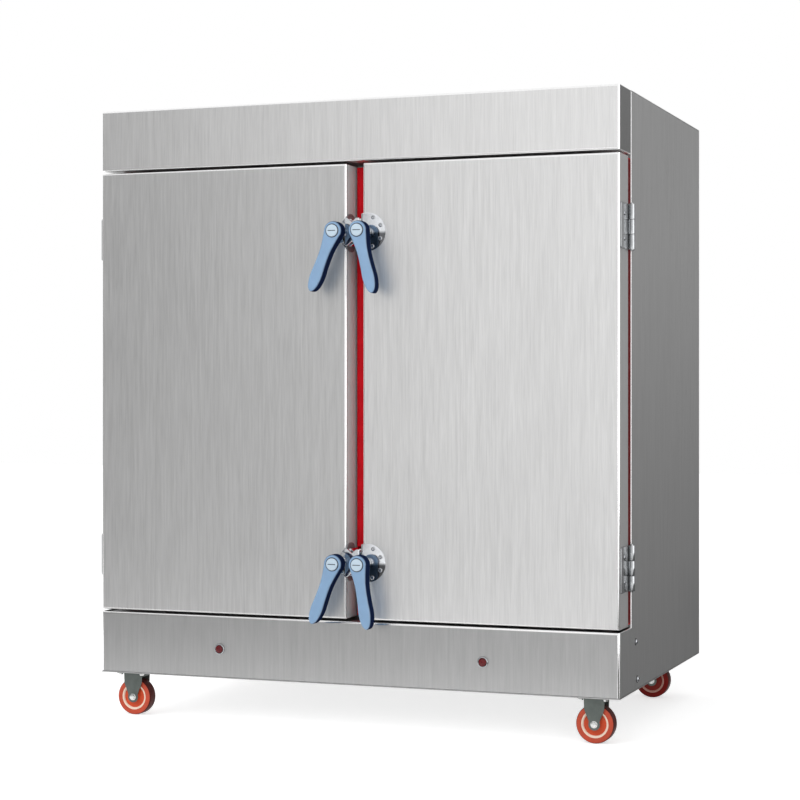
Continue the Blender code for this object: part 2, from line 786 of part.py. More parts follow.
def make_false_floor(workshop):
    """The slotted floor over the tank, through which the steam rises."""
    half = CHAMBER_HALF - FLOOR_CLEARANCE
    front = FRAME_Y + MULLION_DEPTH + FLOOR_CLEARANCE
    back = CHAMBER_BACK_Y - FLOOR_CLEARANCE
    extent = ((-half, front, FLOOR_Z), (half, back, FLOOR_Z + FLOOR_SHEET))
    floor = workshop.part("tank_cover", box_mesh("tank_cover", extent), "inner_steel")
    first = TANK_FRONT_Y + SLOT_WIDTH * 2
    pitch = (TANK_BACK_Y - SLOT_WIDTH * 2 - first) / (SLOT_ROWS - 1)
    straight = SLOT_LENGTH / 2 - SLOT_WIDTH / 2
    radius = SLOT_WIDTH / 2
    slot = arc((straight, 0.0), radius, -90.0, 90.0, SLOT_STEPS)
    slot += arc((-straight, 0.0), radius, 90.0, 270.0, SLOT_STEPS)
    middle = (CHAMBER_HALF + DOOR_GAP_OFFSET) / 2
    for row in range(SLOT_ROWS):
        for column in range(SLOT_COLUMNS):
            for sign in (-1.0, 1.0):
                x = sign * middle + (column - (SLOT_COLUMNS - 1) / 2) * SLOT_COLUMN_PITCH
                place = Matrix.Translation((x, first + row * pitch, FLOOR_Z))
                cut(floor, workshop.tool(plate_mesh(workshop, "slot", slot, OVERRUN * 2, place)))
    return floor


def make_rack(workshop, side, sign):
    """Two ladders of shelf rails on posts, tied across at their ends."""
    outer = sign * (CHAMBER_HALF - RACK_CLEARANCE)
    inner = outer - sign * RACK_WIDTH
    low_x, high_x = sorted((outer, inner))
    front = FRAME_Y + MULLION_DEPTH + RACK_END_SPACE
    back = CHAMBER_BACK_Y - RACK_END_SPACE
    top = CHAMBER_HIGH_Z - RACK_TOP_SPACE
    posts = []
    for x in (low_x, high_x - RACK_POST):
        for y in (front, back - RACK_POST):
            posts.append(((x, y, RACK_Z), (x + RACK_POST, y + RACK_POST, top)))
    rack = workshop.part("rack_" + side, box_mesh("rack", *posts), "inner_steel")
    ties = []
    for y in (front + RACK_TIE, back - 2 * RACK_TIE):
        for z in (RACK_Z + RACK_TIE, top - RACK_POST):
            tie_low = (low_x + RACK_TIE, y, z)
            tie_high = (high_x - RACK_TIE, y + RACK_TIE, z + RACK_POST - RACK_TIE)
            ties.append((tie_low, tie_high))
    join(rack, workshop.tool(box_mesh("rack_ties", *ties)))
    rails = bmesh.new()
    section = [
        (-RAIL_SET, 0.0),
        (RAIL_SHELF, 0.0),
        (RAIL_SHELF, RAIL_BAR),
        (-RAIL_SET, RAIL_BAR),
    ]
    rail_front = front + RACK_POST - RAIL_LAP
    rail_back = back - RACK_POST + RAIL_LAP
    pitch = (top - RAIL_TOP_ROOM - RACK_Z - RAIL_FIRST) / (RAIL_LEVELS - 1)
    for x, direction in ((low_x + RACK_POST, 1.0), (high_x - RACK_POST, -1.0)):
        for level in range(RAIL_LEVELS):
            height = RACK_Z + RAIL_FIRST + level * pitch
            ring = [rails.verts.new((x + direction * u, rail_front, height + v)) for u, v in section]
            face = rails.faces.new(ring)
            made = bmesh.ops.extrude_face_region(rails, geom=[face])
            moved = [item for item in made["geom"] if isinstance(item, bmesh.types.BMVert)]
            bmesh.ops.translate(rails, verts=moved, vec=(0.0, rail_back - rail_front, 0.0))
    bmesh.ops.recalc_face_normals(rails, faces=rails.faces)
    join(rack, workshop.tool(mesh_from(rails, "rack_rails")))
    return rack


def make_heater(workshop, side, sign, liner):
    """A bent tubular heater in the water, with two collars on the tank's front wall."""
    height = TANK_LOW_Z + HEATER_HEIGHT
    inner, outer = (sign * offset for offset in HEATER_LEG_OFFSETS)
    bend = abs(outer - inner) / 2
    wall = TANK_FRONT_Y - SHEET
    front = wall - HEATER_TERMINAL
    turn_y = TANK_BACK_Y - HEATER_BACK_SPACE - bend
    middle = (inner + outer) / 2
    start = 180.0 if inner < outer else 0.0
    path = [(inner, front)]
    path += arc((middle, turn_y), bend, start, 180.0 - start, HEATER_BEND_POINTS)
    path += [(outer, front)]
    points = [(x, y, height) for x, y in path]
    mesh = tube_mesh(workshop, "heater", points, HEATER_RADIUS)
    heater = workshop.part("heater_" + side, mesh, "inner_steel")
    for x in (inner, outer):
        end = (x, wall - SEAT_GAP, height)
        start_point = (x, wall - SEAT_GAP - HEATER_COLLAR, height)
        join(heater, workshop.tool(rod_mesh("heater_collar", HEATER_COLLAR_RADIUS, start_point, end)))
        hole_start = (x, wall - OVERRUN, height)
        hole_end = (x, TANK_FRONT_Y + OVERRUN, height)
        drill(workshop, HEATER_RADIUS + HEATER_CLEARANCE, hole_start, hole_end, liner)
    return heater


def make_float_valve(workshop, skins):
    """The water inlet through the back, with the pin that its float arm hangs on."""
    height = TANK_LOW_Z + FLOAT_HEIGHT
    back = BACK_Y + FLOAT_TAIL_REACH
    wall = TANK_BACK_Y - SEAT_GAP
    nose = wall - FLOAT_NOSE
    nut = BACK_Y + SEAT_GAP
    profile = [
        (0.0, -nose),
        (FLOAT_NOSE_RADIUS, -nose),
        (FLOAT_NOSE_RADIUS, -wall + FLOAT_COLLAR),
        (FLOAT_COLLAR_RADIUS, -wall + FLOAT_COLLAR),
        (FLOAT_COLLAR_RADIUS, -wall),
        (FLOAT_TAIL_RADIUS, -wall),
        (FLOAT_TAIL_RADIUS, -nut),
        (FLOAT_COLLAR_RADIUS, -nut),
        (FLOAT_COLLAR_RADIUS, -nut - FLOAT_COLLAR),
        (FLOAT_TAIL_RADIUS, -nut - FLOAT_COLLAR),
        (FLOAT_TAIL_RADIUS, -back),
        (0.0, -back),
    ]
    mesh = turned_mesh("float_valve", profile)
    valve = workshop.part("float_valve", mesh, "brass", along_y(0.0, 0.0, height))
    turn(valve, SMALL_SIDES)
    pivot_y = nose - FLOAT_EYE_LENGTH / 2
    half_eye = FLOAT_EYE / 2
    eye_low = (-half_eye, nose - FLOAT_EYE_LENGTH, height - half_eye)
    eye_high = (half_eye, nose + FLOAT_COLLAR, height + half_eye)
    join(valve, workshop.tool(box_mesh("float_eye", (eye_low, eye_high))))
    half_pin = FLOAT_PIN_LENGTH / 2
    pin = rod_mesh("float_pin", FLOAT_PIN_RADIUS, (-half_pin, pivot_y, height), (half_pin, pivot_y, height))
    join(valve, workshop.tool(pin))
    bore = rod_mesh(
        "float_bore",
        FLOAT_TAIL_RADIUS - FLOAT_PIN_RADIUS,
        (0.0, back - FLOAT_COLLAR, height),
        (0.0, back + OVERRUN, height),
    )
    cut(valve, workshop.tool(bore))
    hole = FLOAT_TAIL_RADIUS + HOLE_CLEARANCE
    drill(workshop, hole, (0.0, TANK_BACK_Y - OVERRUN, height), (0.0, BACK_Y + OVERRUN, height), *skins)
    return pivot_y, height


def make_float_arm(workshop, pivot_y, height, parent):
    """The fork, rod and ball that ride on the water."""
    pivot = workshop.pivot("float_pivot", (0.0, pivot_y, height), parent)
    inner = FLOAT_EYE / 2 + FLOAT_CLEARANCE
    outer = inner + FLOAT_CHEEK
    half = FLOAT_CHEEK_HEIGHT / 2
    bridge_back = pivot_y - FLOAT_EYE_LENGTH / 2 - FLOAT_CLEARANCE
    bridge_front = bridge_back - FLOAT_CHEEK
    cheeks = [
        ((-outer, bridge_front, height - half), (-inner, pivot_y + FLOAT_CHEEK, height + half)),
        ((inner, bridge_front, height - half), (outer, pivot_y + FLOAT_CHEEK, height + half)),
    ]
    mesh = box_mesh("float_arm", *cheeks)
    arm = workshop.part("float_arm", mesh, "inner_steel")
    bridge = ((-outer, bridge_front, height - half), (outer, bridge_back, height + half))
    join(arm, workshop.tool(box_mesh("float_bridge", bridge)))
    span = outer + OVERRUN
    hole = FLOAT_PIN_RADIUS + FLOAT_CLEARANCE / 2
    drill(workshop, hole, (-span, pivot_y, height), (span, pivot_y, height), arm)
    ball_y = bridge_front - FLOAT_ROD_LENGTH
    ball = Vector((0.0, ball_y, height - FLOAT_DROP))
    rod_start = (0.0, bridge_front + FLOAT_CHEEK / 2, height)
    join(arm, workshop.tool(rod_mesh("float_rod", FLOAT_ROD_RADIUS, rod_start, ball)))
    work = bmesh.new()
    bmesh.ops.create_uvsphere(
        work,
        u_segments=SMALL_SIDES,
        v_segments=SMALL_SIDES // 2,
        radius=FLOAT_BALL_RADIUS,
        matrix=Matrix.Translation(ball),
    )
    join(arm, workshop.tool(mesh_from(work, "float_ball")))
    attach(arm, pivot)


def make_drain(workshop, liner, back_panel):
    """The drain pipe under the tank, its ball valve behind the cabinet and the valve's stem."""
    y = TANK_BACK_Y - DRAIN_BACK_SPACE
    z = BASE_Z + DRAIN_HEIGHT
    top = TANK_LOW_Z - SHEET - SEAT_GAP
    end = BACK_Y + DRAIN_REACH
    path = [(y, top)]
    path += arc((y + DRAIN_ELBOW, z + DRAIN_ELBOW), DRAIN_ELBOW, 180.0, 270.0, DRAIN_ELBOW_POINTS)
    path += [(end, z)]
    points = [(DRAIN_OFFSET, b, c) for b, c in path]
    mesh = tube_mesh(workshop, "drain_valve", points, DRAIN_PIPE_RADIUS)
    valve = workshop.part("drain_valve", mesh, "brass")
    barrel_y = BACK_Y + DRAIN_VALVE_SPACE
    barrel_end = barrel_y + DRAIN_VALVE_LENGTH
    barrel = rod_mesh(
        "drain_barrel",
        DRAIN_VALVE_RADIUS,
        (DRAIN_OFFSET, barrel_y, z),
        (DRAIN_OFFSET, barrel_end, z),
        HEX_SIDES,
    )
    join(valve, workshop.tool(barrel))
    stem_y = (barrel_y + barrel_end) / 2
    handle_z = z + DRAIN_VALVE_RADIUS + DRAIN_HANDLE_GAP
    nut_z = handle_z + DRAIN_HANDLE + DRAIN_HANDLE_GAP
    nut_top = nut_z + DRAIN_NUT_HEIGHT
    stem_parts = (
        rod_mesh(
            "drain_stem",
            DRAIN_STEM_RADIUS,
            (DRAIN_OFFSET, stem_y, z),
            (DRAIN_OFFSET, stem_y, nut_top - SEAT_GAP),
        ),
        rod_mesh(
            "drain_nut",
            DRAIN_NUT_RADIUS,
            (DRAIN_OFFSET, stem_y, nut_z),
            (DRAIN_OFFSET, stem_y, nut_top),
            HEX_SIDES,
        ),
        rod_mesh(
            "drain_neck",
            DRAIN_STEM_RADIUS + DRAIN_HANDLE,
            (DRAIN_OFFSET, stem_y, z),
            (DRAIN_OFFSET, stem_y, z + DRAIN_VALVE_RADIUS),
        ),
    )
    join(valve, *(workshop.tool(part) for part in stem_parts))
    bore = rod_mesh(
        "drain_bore",
        DRAIN_BORE_RADIUS,
        (DRAIN_OFFSET, end - DRAIN_BORE_DEPTH, z),
        (DRAIN_OFFSET, end + OVERRUN, z),
    )
    cut(valve, workshop.tool(bore))
    tank_hole = ((DRAIN_OFFSET, y, TANK_LOW_Z - OVERRUN), (DRAIN_OFFSET, y, TANK_LOW_Z + OVERRUN))
    drill(workshop, DRAIN_BORE_RADIUS, *tank_hole, liner)
    back_hole = ((DRAIN_OFFSET, BACK_Y - OVERRUN, z), (DRAIN_OFFSET, BACK_Y + OVERRUN, z))
    drill(workshop, DRAIN_PIPE_RADIUS + HOLE_CLEARANCE, *back_hole, back_panel)
    return stem_y, handle_z


def make_drain_handle(workshop, stem_y, handle_z, parent):
    """The valve's flat handle, shut across the pipe."""
    pivot = workshop.pivot("drain_handle_pivot", (DRAIN_OFFSET, stem_y, handle_z), parent)
    half = DRAIN_HANDLE_WIDTH / 2
    outline = arc((0.0, 0.0), half, 90.0, 270.0, HEX_SIDES)
    outline += arc((DRAIN_HANDLE_LENGTH - half, 0.0), half, -90.0, 90.0, HEX_SIDES)
    place = Matrix.Translation((DRAIN_OFFSET, stem_y, handle_z + DRAIN_HANDLE / 2))
    mesh = plate_mesh(workshop, "drain_handle", outline, DRAIN_HANDLE, place)
    handle = workshop.part("drain_handle", mesh, "red_vinyl")
    low = (DRAIN_OFFSET, stem_y, handle_z - OVERRUN)
    high = (DRAIN_OFFSET, stem_y, handle_z + DRAIN_HANDLE + OVERRUN)
    drill(workshop, DRAIN_STEM_RADIUS + DRAIN_HANDLE_GAP, low, high, handle)
    attach(handle, pivot)


def make_vent(workshop, skins):
    """The steam outlet through the back wall."""
    height = CHAMBER_HIGH_Z - VENT_DROP
    flange = BACK_Y + SEAT_GAP
    profile = [
        (VENT_BORE_RADIUS, -CHAMBER_BACK_Y + VENT_LIP),
        (VENT_RADIUS, -CHAMBER_BACK_Y + VENT_LIP),
        (VENT_RADIUS, -flange),
        (VENT_FLANGE_RADIUS, -flange),
        (VENT_FLANGE_RADIUS, -flange - VENT_FLANGE),
        (VENT_RADIUS, -flange - VENT_FLANGE),
        (VENT_RADIUS, -BACK_Y - VENT_REACH),
        (VENT_BORE_RADIUS, -BACK_Y - VENT_REACH),
    ]
    mesh = turned_mesh("steam_vent", profile, closed=True)
    vent = workshop.part("steam_vent", mesh, "inner_steel", along_y(0.0, 0.0, height))
    turn(vent, SMALL_SIDES)
    start = (0.0, CHAMBER_BACK_Y - OVERRUN, height)
    end = (0.0, BACK_Y + OVERRUN, height)
    drill(workshop, VENT_RADIUS + HOLE_CLEARANCE, start, end, *skins)


def make_gland(workshop, back_panel):
    """The gland that the supply lead would come in by."""
    x = GLAND_INSET - HALF_WIDTH
    z = BASE_Z + GLAND_HEIGHT
    flange = BACK_Y + SEAT_GAP
    profile = [
        (GLAND_BORE_RADIUS, -BACK_Y + GLAND_SHANK),
        (GLAND_SHANK_RADIUS, -BACK_Y + GLAND_SHANK),
        (GLAND_SHANK_RADIUS, -flange),
        (GLAND_FLANGE_RADIUS, -flange),
        (GLAND_FLANGE_RADIUS, -flange - GLAND_FLANGE),
        (GLAND_DOME_RADIUS, -flange - GLAND_FLANGE),
        (GLAND_DOME_RADIUS, -flange - GLAND_FLANGE - GLAND_DOME / 2),
        (GLAND_MOUTH_RADIUS, -flange - GLAND_FLANGE - GLAND_DOME),
        (GLAND_BORE_RADIUS, -flange - GLAND_FLANGE - GLAND_DOME),
    ]
    mesh = turned_mesh("cable_gland", profile, closed=True)
    gland = workshop.part("cable_gland", mesh, "black_nylon", along_y(x, 0.0, z))
    turn(gland, SMALL_SIDES)
    hole = GLAND_SHANK_RADIUS + HOLE_CLEARANCE
    drill(workshop, hole, (x, BACK_Y - OVERRUN, z), (x, BACK_Y + OVERRUN, z), back_panel)


def make_lamp(workshop, side, sign, panel):
    """An indicator lamp: bezel with its shank, and the lens inside it."""
    x = sign * LAMP_OFFSET
    z = BASE_Z + LAMP_HEIGHT
    seat = FACE_Y - SEAT_GAP
    front = seat - LAMP_BEZEL_PROUD
    shank = FACE_Y + LAMP_SHANK_LENGTH
    bezel_profile = [
        (LAMP_BORE_RADIUS, -front),
        (LAMP_BEZEL_RADIUS - LAMP_BEZEL_ROUND, -front),
        (LAMP_BEZEL_RADIUS, -front - LAMP_BEZEL_ROUND),
        (LAMP_BEZEL_RADIUS, -seat),
        (LAMP_SHANK_RADIUS, -seat),
        (LAMP_SHANK_RADIUS, -shank),
        (LAMP_BORE_RADIUS, -shank),
    ]
    place = along_y(x, 0.0, z)
    mesh = turned_mesh("lamp_bezel", bezel_profile, closed=True)
    turn(workshop.part("lamp_bezel_" + side, mesh, "chrome", place), SMALL_SIDES)
    dome = LAMP_LENS_PROUD - LAMP_BEZEL_PROUD
    lens_profile = [
        (0.0, -front + dome),
        (LAMP_LENS_RADIUS / 2, -front + dome - dome / 4),
        (LAMP_LENS_RADIUS, -front),
        (LAMP_LENS_RADIUS, -shank + LAMP_BEZEL_ROUND),
        (0.0, -shank + LAMP_BEZEL_ROUND),
    ]
    mesh = turned_mesh("lamp_lens", lens_profile)
    turn(workshop.part("lamp_lens_" + side, mesh, "lamp_red", place), SMALL_SIDES)
    hole = LAMP_SHANK_RADIUS + SEAT_GAP
    drill(workshop, hole, (x, FACE_Y - OVERRUN, z), (x, FACE_Y + OVERRUN, z), panel)


def door_extent(side, sign):
    """The lowest and highest x of a door."""
    return sorted((sign * HALF_WIDTH, DOOR_EDGES[side]))


def make_door(workshop, side, sign, pivot):
    """The door's outer pan, foam core and embossed inner sheet."""
    low_x, high_x = door_extent(side, sign)
    shell_back = DOOR_BACK_Y - SHEET - SEAT_GAP
    low = (low_x, FACE_Y, DOOR_LOW_Z)
    high = (high_x, shell_back, DOOR_HIGH_Z)
    mesh = open_box_mesh("door_shell", low, high, 1, 1.0)
    shell = workshop.part("door_shell_" + side, mesh, "brushed_steel")
    bevel(shell, SKIN_BEND)
    solidify(shell, SHEET)
    inset = SHEET + SEAT_GAP
    core_low = (low_x + inset, FACE_Y + inset, DOOR_LOW_Z + inset)
    core_high = (high_x - inset, shell_back - SEAT_GAP, DOOR_HIGH_Z - inset)
    core = workshop.part("door_core_" + side, box_mesh("door_core", (core_low, core_high)), "insulation")
    bevel(core, SKIN_BEND)
    sheet = ((low_x, DOOR_BACK_Y - SHEET, DOOR_LOW_Z), (high_x, DOOR_BACK_Y, DOOR_HIGH_Z))
    liner = workshop.part("door_liner_" + side, box_mesh("door_liner", sheet), "inner_steel")
    inset = DOOR_PAD_INSET + SHEET / 2
    hole_low = (low_x + inset, DOOR_BACK_Y - SHEET - OVERRUN, DOOR_LOW_Z + inset)
    hole_high = (high_x - inset, DOOR_BACK_Y + OVERRUN, DOOR_HIGH_Z - inset)
    cut(liner, workshop.tool(box_mesh("pad_hole", (hole_low, hole_high))))
    inset = DOOR_PAD_INSET
    pad_low = (low_x + inset, DOOR_BACK_Y - SHEET / 2, DOOR_LOW_Z + inset)
    pad_high = (high_x - inset, DOOR_BACK_Y + DOOR_PAD_DEPTH, DOOR_HIGH_Z - inset)
    pad = workshop.tool(open_box_mesh("door_pad", pad_low, pad_high, 1, -1.0))
    bevel(pad, DOOR_PAD_BEND)
    solidify(pad, SHEET)
    join(liner, pad)
    for piece in (shell, core, liner):
        attach(piece, pivot)


def hinge_leaf_outline(near, far):
    """A leaf in the plane of the cabinet's side, as (y, z) points with its far corners rounded."""
    half = HINGE_LENGTH / 2
    reach = far - near
    turned = 1.0 if reach > 0 else -1.0
    centre = far - turned * HINGE_CORNER
    low = arc((0.0, -half + HINGE_CORNER), HINGE_CORNER, -90.0, 0.0, ARC_STEPS)
    high = arc((0.0, half - HINGE_CORNER), HINGE_CORNER, 0.0, 90.0, ARC_STEPS)
    corners = [(centre + turned * y, z) for y, z in low + high]
    return [(near, -half)] + corners + [(near, half)]


def make_hinge(workshop, level, side, sign, door_pivot):
    """A lift-proof butt hinge: one knuckle on the door's leaf between two on the body's."""
    height = FITTING_HEIGHTS[level]
    axis_x = sign * HINGE_AXIS_X
    leaf_x = sign * (HALF_WIDTH + SEAT_GAP + HINGE_LEAF / 2)
    half = HINGE_LENGTH / 2
    third = HINGE_LENGTH / 6
    gap = HINGE_RUNNING_GAP
    reach = OVERRUN + half
    door_far = FACE_Y + HINGE_FRONT_INSET
    body_far = DOOR_BACK_Y + HINGE_REAR_REACH
    spans = {
        "door": [(-third + gap, third - gap)],
        "body": [(-half - HINGE_KNUCKLE_PROUD, -third), (third, half + HINGE_KNUCKLE_PROUD)],
    }
    # The leaf's own plane is turned so that its x runs along Y and its y along Z
    turned = Matrix(((0.0, 0.0, 1.0, 0.0), (1.0, 0.0, 0.0, 0.0), (0.0, 1.0, 0.0, 0.0), (0.0, 0.0, 0.0, 1.0)))
    for holder, far in (("door", door_far), ("body", body_far)):
        other = "body" if holder == "door" else "door"
        place = Matrix.Translation((leaf_x, 0.0, height)) @ turned
        outline = hinge_leaf_outline(HINGE_AXIS_Y, far)
        mesh = plate_mesh(workshop, "hinge", outline, HINGE_LEAF, place)
        leaf = workshop.part("_".join(("hinge", holder, "leaf", side, level)), mesh, "chrome")
        for start, end in spans[other]:
            low_z = height + (start - gap if start > -half else -reach)
            high_z = height + (end + gap if end < half else reach)
            room = HINGE_KNUCKLE_RADIUS + HINGE_RUNNING_GAP
            low = (axis_x, HINGE_AXIS_Y, low_z)
            high = (axis_x, HINGE_AXIS_Y, high_z)
            cut(leaf, workshop.tool(rod_mesh("knuckle_room", room, low, high)))
        for start, end in spans[holder]:
            low = (axis_x, HINGE_AXIS_Y, height + start)
            high = (axis_x, HINGE_AXIS_Y, height + end)
            join(leaf, workshop.tool(rod_mesh("knuckle", HINGE_KNUCKLE_RADIUS, low, high)))
        if holder == "door":
            low = (axis_x, HINGE_AXIS_Y, height - half)
            high = (axis_x, HINGE_AXIS_Y, height + half)
            drill(workshop, HINGE_PIN_RADIUS + HINGE_RUNNING_GAP, low, high, leaf)
            attach(leaf, door_pivot)
        else:
            pin_low = (axis_x, HINGE_AXIS_Y, height - half - HINGE_PIN_HEAD)
            pin_high = (axis_x, HINGE_AXIS_Y, height + half + HINGE_PIN_HEAD)
            join(leaf, workshop.tool(rod_mesh("hinge_pin", HINGE_PIN_RADIUS, pin_low, pin_high)))


def latch_pivot_x(sign):
    return DOOR_GAP_OFFSET + sign * LATCH_INSET


def make_latch_plate(workshop, level, side, sign, pivot):
    """The chromed plate under a latch: a disc cut off at the door's edge and returned round it."""
    height = FITTING_HEIGHTS[level]
    edge = DOOR_EDGES[side]
    straight = edge - sign * (SEAT_GAP + LATCH_RETURN)
    centre = edge + sign * LATCH_PLATE_OFFSETS[side]
    opening = math.degrees(math.acos((straight - centre) / (sign * LATCH_PLATE_RADIUS)))
    points = arc((centre, 0.0), sign * LATCH_PLATE_RADIUS, -opening, opening, PLATE_STEPS)
    chord = LATCH_PLATE_RADIUS * math.sin(math.radians(opening))
    place = along_y(0.0, PLATE_FRONT_Y + LATCH_PLATE / 2, height)
    mesh = plate_mesh(workshop, "latch_plate", points, LATCH_PLATE, place)
    plate = workshop.part("_".join(("latch_plate", side, level)), mesh, "chrome")
    low_x, high_x = sorted((straight, edge - sign * SEAT_GAP))
    low = (low_x, PLATE_FRONT_Y + SEAT_GAP, height - chord + SEAT_GAP)
    high = (high_x, FACE_Y + LATCH_RETURN_DEPTH, height + chord - SEAT_GAP)
    join(plate, workshop.tool(box_mesh("latch_return", (low, high))))
    x = latch_pivot_x(sign)
    hole = SPINDLE_RADIUS + SPINDLE_CLEARANCE
    drill(workshop, hole, (x, PLATE_FRONT_Y - OVERRUN, height), (x, FACE_Y + OVERRUN, height), plate)
    attach(plate, pivot)


def lever_outline():
    """The lever seen from the front, hanging from its pivot: head, waist, paddle and rounded tip."""
    half = [(LEVER_HEAD_RADIUS * share, -LEVER_LENGTH * at) for at, share in LEVER_WIDTH_SHARES]
    head = arc((0.0, 0.0), LEVER_HEAD_RADIUS, *LEVER_HEAD_ARC, HEX_SIDES)
    mirrored = [(-x, z) for x, z in half]
    return head + mirrored + [(0.0, -LEVER_LENGTH)] + half[::-1]


def make_lever(workshop, level, side, sign, door_pivot):
    """A latch lever: moulded grip, capped hub, spindle and the tongue that catches the keeper."""
    height = FITTING_HEIGHTS[level]
    x = latch_pivot_x(sign)
    pivot = workshop.pivot("_".join(("latch_pivot", side, level)), (x, PLATE_FRONT_Y, height), door_pivot)
    upright = Matrix.Rotation(math.radians(90.0), 4, "X")
    outline = lever_outline()
    grip = plate_mesh(workshop, "latch_lever", outline, LEVER_HEAD_THICKNESS, upright, LEVER_STEPS)
    middle = LEVER_FRONT_Y + LEVER_HEAD_THICKNESS / 2 - PLATE_FRONT_Y
    for vertex in grip.vertices:
        share = min(max(-vertex.co.z - LEVER_HEAD_RADIUS, 0.0) / (LEVER_LENGTH - LEVER_HEAD_RADIUS), 1.0)
        if vertex.co.y > 0:
            vertex.co.y -= share * (LEVER_HEAD_THICKNESS - LEVER_TIP_THICKNESS)
        vertex.co.y += middle
    splay = math.radians(-sign * LEVER_SPLAY[side, level])
    place = Matrix.Translation((x, PLATE_FRONT_Y, height)) @ Matrix.Rotation(splay, 4, "Y")
    lever = workshop.part("_".join(("latch_lever", side, level)), grip, "blue_plastic", place)
    bevel(lever, LEVER_EDGE)
    front = LEVER_FRONT_Y - PLATE_FRONT_Y
    back = LEVER_BACK_Y - PLATE_FRONT_Y
    tongue_back = TONGUE_BACK_Y - PLATE_FRONT_Y
    hub = rod_mesh("hub", HUB_RADIUS, (0.0, tongue_back, 0.0), (0.0, back - LEVER_EDGE * 2, 0.0))
    join(lever, workshop.tool(hub, place))
    spindle = rod_mesh("spindle", SPINDLE_RADIUS, (0.0, LATCH_PLATE, 0.0), (0.0, back, 0.0))
    join(lever, workshop.tool(spindle, place))
    start, end = TONGUE_ANGLES
    sector = [(0.0, 0.0)]
    sector += arc((0.0, 0.0), TONGUE_RADIUS, -90.0 - sign * start, -90.0 - sign * end, HEX_SIDES)
    tongue_place = place @ Matrix.Translation((0.0, tongue_back - TONGUE_THICKNESS / 2, 0.0)) @ upright
    tongue = plate_mesh(workshop, "tongue", sector, TONGUE_THICKNESS, tongue_place)
    join(lever, workshop.tool(tongue))
    cap_profile = [
        (0.0, -front + LEVER_CAP_HEIGHT),
        (LEVER_CAP_RADIUS - LEVER_CAP_EDGE, -front + LEVER_CAP_HEIGHT),
        (LEVER_CAP_RADIUS, -front + LEVER_CAP_HEIGHT - LEVER_CAP_EDGE),
        (LEVER_CAP_RADIUS, -front - LEVER_EDGE),
        (0.0, -front - LEVER_EDGE),
    ]
    cap = workshop.tool(turned_mesh("lever_cap", cap_profile), place @ upright)
    turn(cap, ROUND_SIDES)
    join(lever, cap)
    attach(lever, pivot)


def make_wheel(workshop, name, place, parent):
    """A caster wheel: tread, ring and recessed hub in one moulding, bored for its axle."""
    half = WHEEL_WIDTH / 2
    bore = AXLE_RADIUS + WHEEL_BORE_CLEARANCE
    front_half = [
        (bore, half + WHEEL_BOSS_PROUD),
        (WHEEL_BOSS_RADIUS, half + WHEEL_BOSS_PROUD),
        (WHEEL_BOSS_RADIUS, half - WHEEL_RECESS),
        (WHEEL_HUB_RADIUS, half - WHEEL_RECESS),
        (WHEEL_RING_RADIUS, half),
        (WHEEL_RADIUS - WHEEL_SHOULDER, half),
        (WHEEL_RADIUS, half - WHEEL_SHOULDER),
    ]
    profile = front_half + [(radius, -height) for radius, height in front_half[::-1]]
    mesh = turned_mesh("wheel", profile, closed=True)
    wheel = workshop.part(name, mesh, "wheel_red", along_y(*place))
    turn(wheel, WHEEL_SIDES)
    attach(wheel, workshop.pivot(name + "_axle", place, parent))


def fork_leg_mesh(workshop, x, wheel_x, y, top_z):
    """One leg of a fork: from its width at the top down to a rounded foot round the axle."""
    foot = arc((wheel_x, WHEEL_RADIUS), FORK_FOOT_RADIUS, *FORK_FOOT_ARC, FORK_FOOT_POINTS)
    half = FORK_TOP_WIDTH / 2
    outline = [(x - half, top_z)] + foot + [(x + half, top_z)]
    place = along_y(0.0, y, 0.0)
    return plate_mesh(workshop, "fork_leg", outline, FORK_SHEET, place)


def caster_plate_mesh(workshop, x, y):
    """The square mounting plate with rounded corners."""
    half = CASTER_PLATE_SIZE / 2 - CASTER_PLATE_CORNER
    outline = []
    corners = ((half, half), (-half, half), (-half, -half), (half, -half))
    for quarter, centre in enumerate(corners):
        start = 90.0 * quarter
        outline += arc(centre, CASTER_PLATE_CORNER, start, start + 90.0, ARC_STEPS)
    place = Matrix.Translation((x, y, CASTER_TOP_Z - CASTER_PLATE / 2))
    return plate_mesh(workshop, "caster_plate", outline, CASTER_PLATE, place)


def add_fork(workshop, fork, x, wheel_x, y, top_z):
    """Joins two legs, the bridge over them and the bolted axle onto a fork."""
    reach = FORK_HALF + FORK_SHEET
    for sign in (-1.0, 1.0):
        leg_y = y + sign * (FORK_HALF + FORK_SHEET / 2)
        join(fork, workshop.tool(fork_leg_mesh(workshop, x, wheel_x, leg_y, top_z)))
    axle_reach = reach + AXLE_HEAD / 2
    axle_start = (wheel_x, y - axle_reach, WHEEL_RADIUS)
    axle_end = (wheel_x, y + axle_reach, WHEEL_RADIUS)
    join(fork, workshop.tool(rod_mesh("axle", AXLE_RADIUS, axle_start, axle_end)))
    for sign in (-1.0, 1.0):
        near = (wheel_x, y + sign * (reach - FORK_LAP), WHEEL_RADIUS)
        far = (wheel_x, y + sign * (reach + AXLE_HEAD), WHEEL_RADIUS)
        join(fork, workshop.tool(rod_mesh("axle_head", AXLE_HEAD_RADIUS, near, far, HEX_SIDES)))


def make_front_caster(workshop, side, sign):
    """A fixed caster: plate and fork in one, with a wheel."""
    x = sign * (HALF_WIDTH - CASTER_SIDE_INSET)
    y = FACE_Y + CASTER_FRONT_INSET
    fork = workshop.part("caster_fork_front_" + side, caster_plate_mesh(workshop, x, y), "zinc")
    add_fork(workshop, fork, x, x, y, CASTER_TOP_Z - CASTER_PLATE + FORK_LAP)
    make_wheel(workshop, "caster_wheel_front_" + side, (x, y, WHEEL_RADIUS), None)


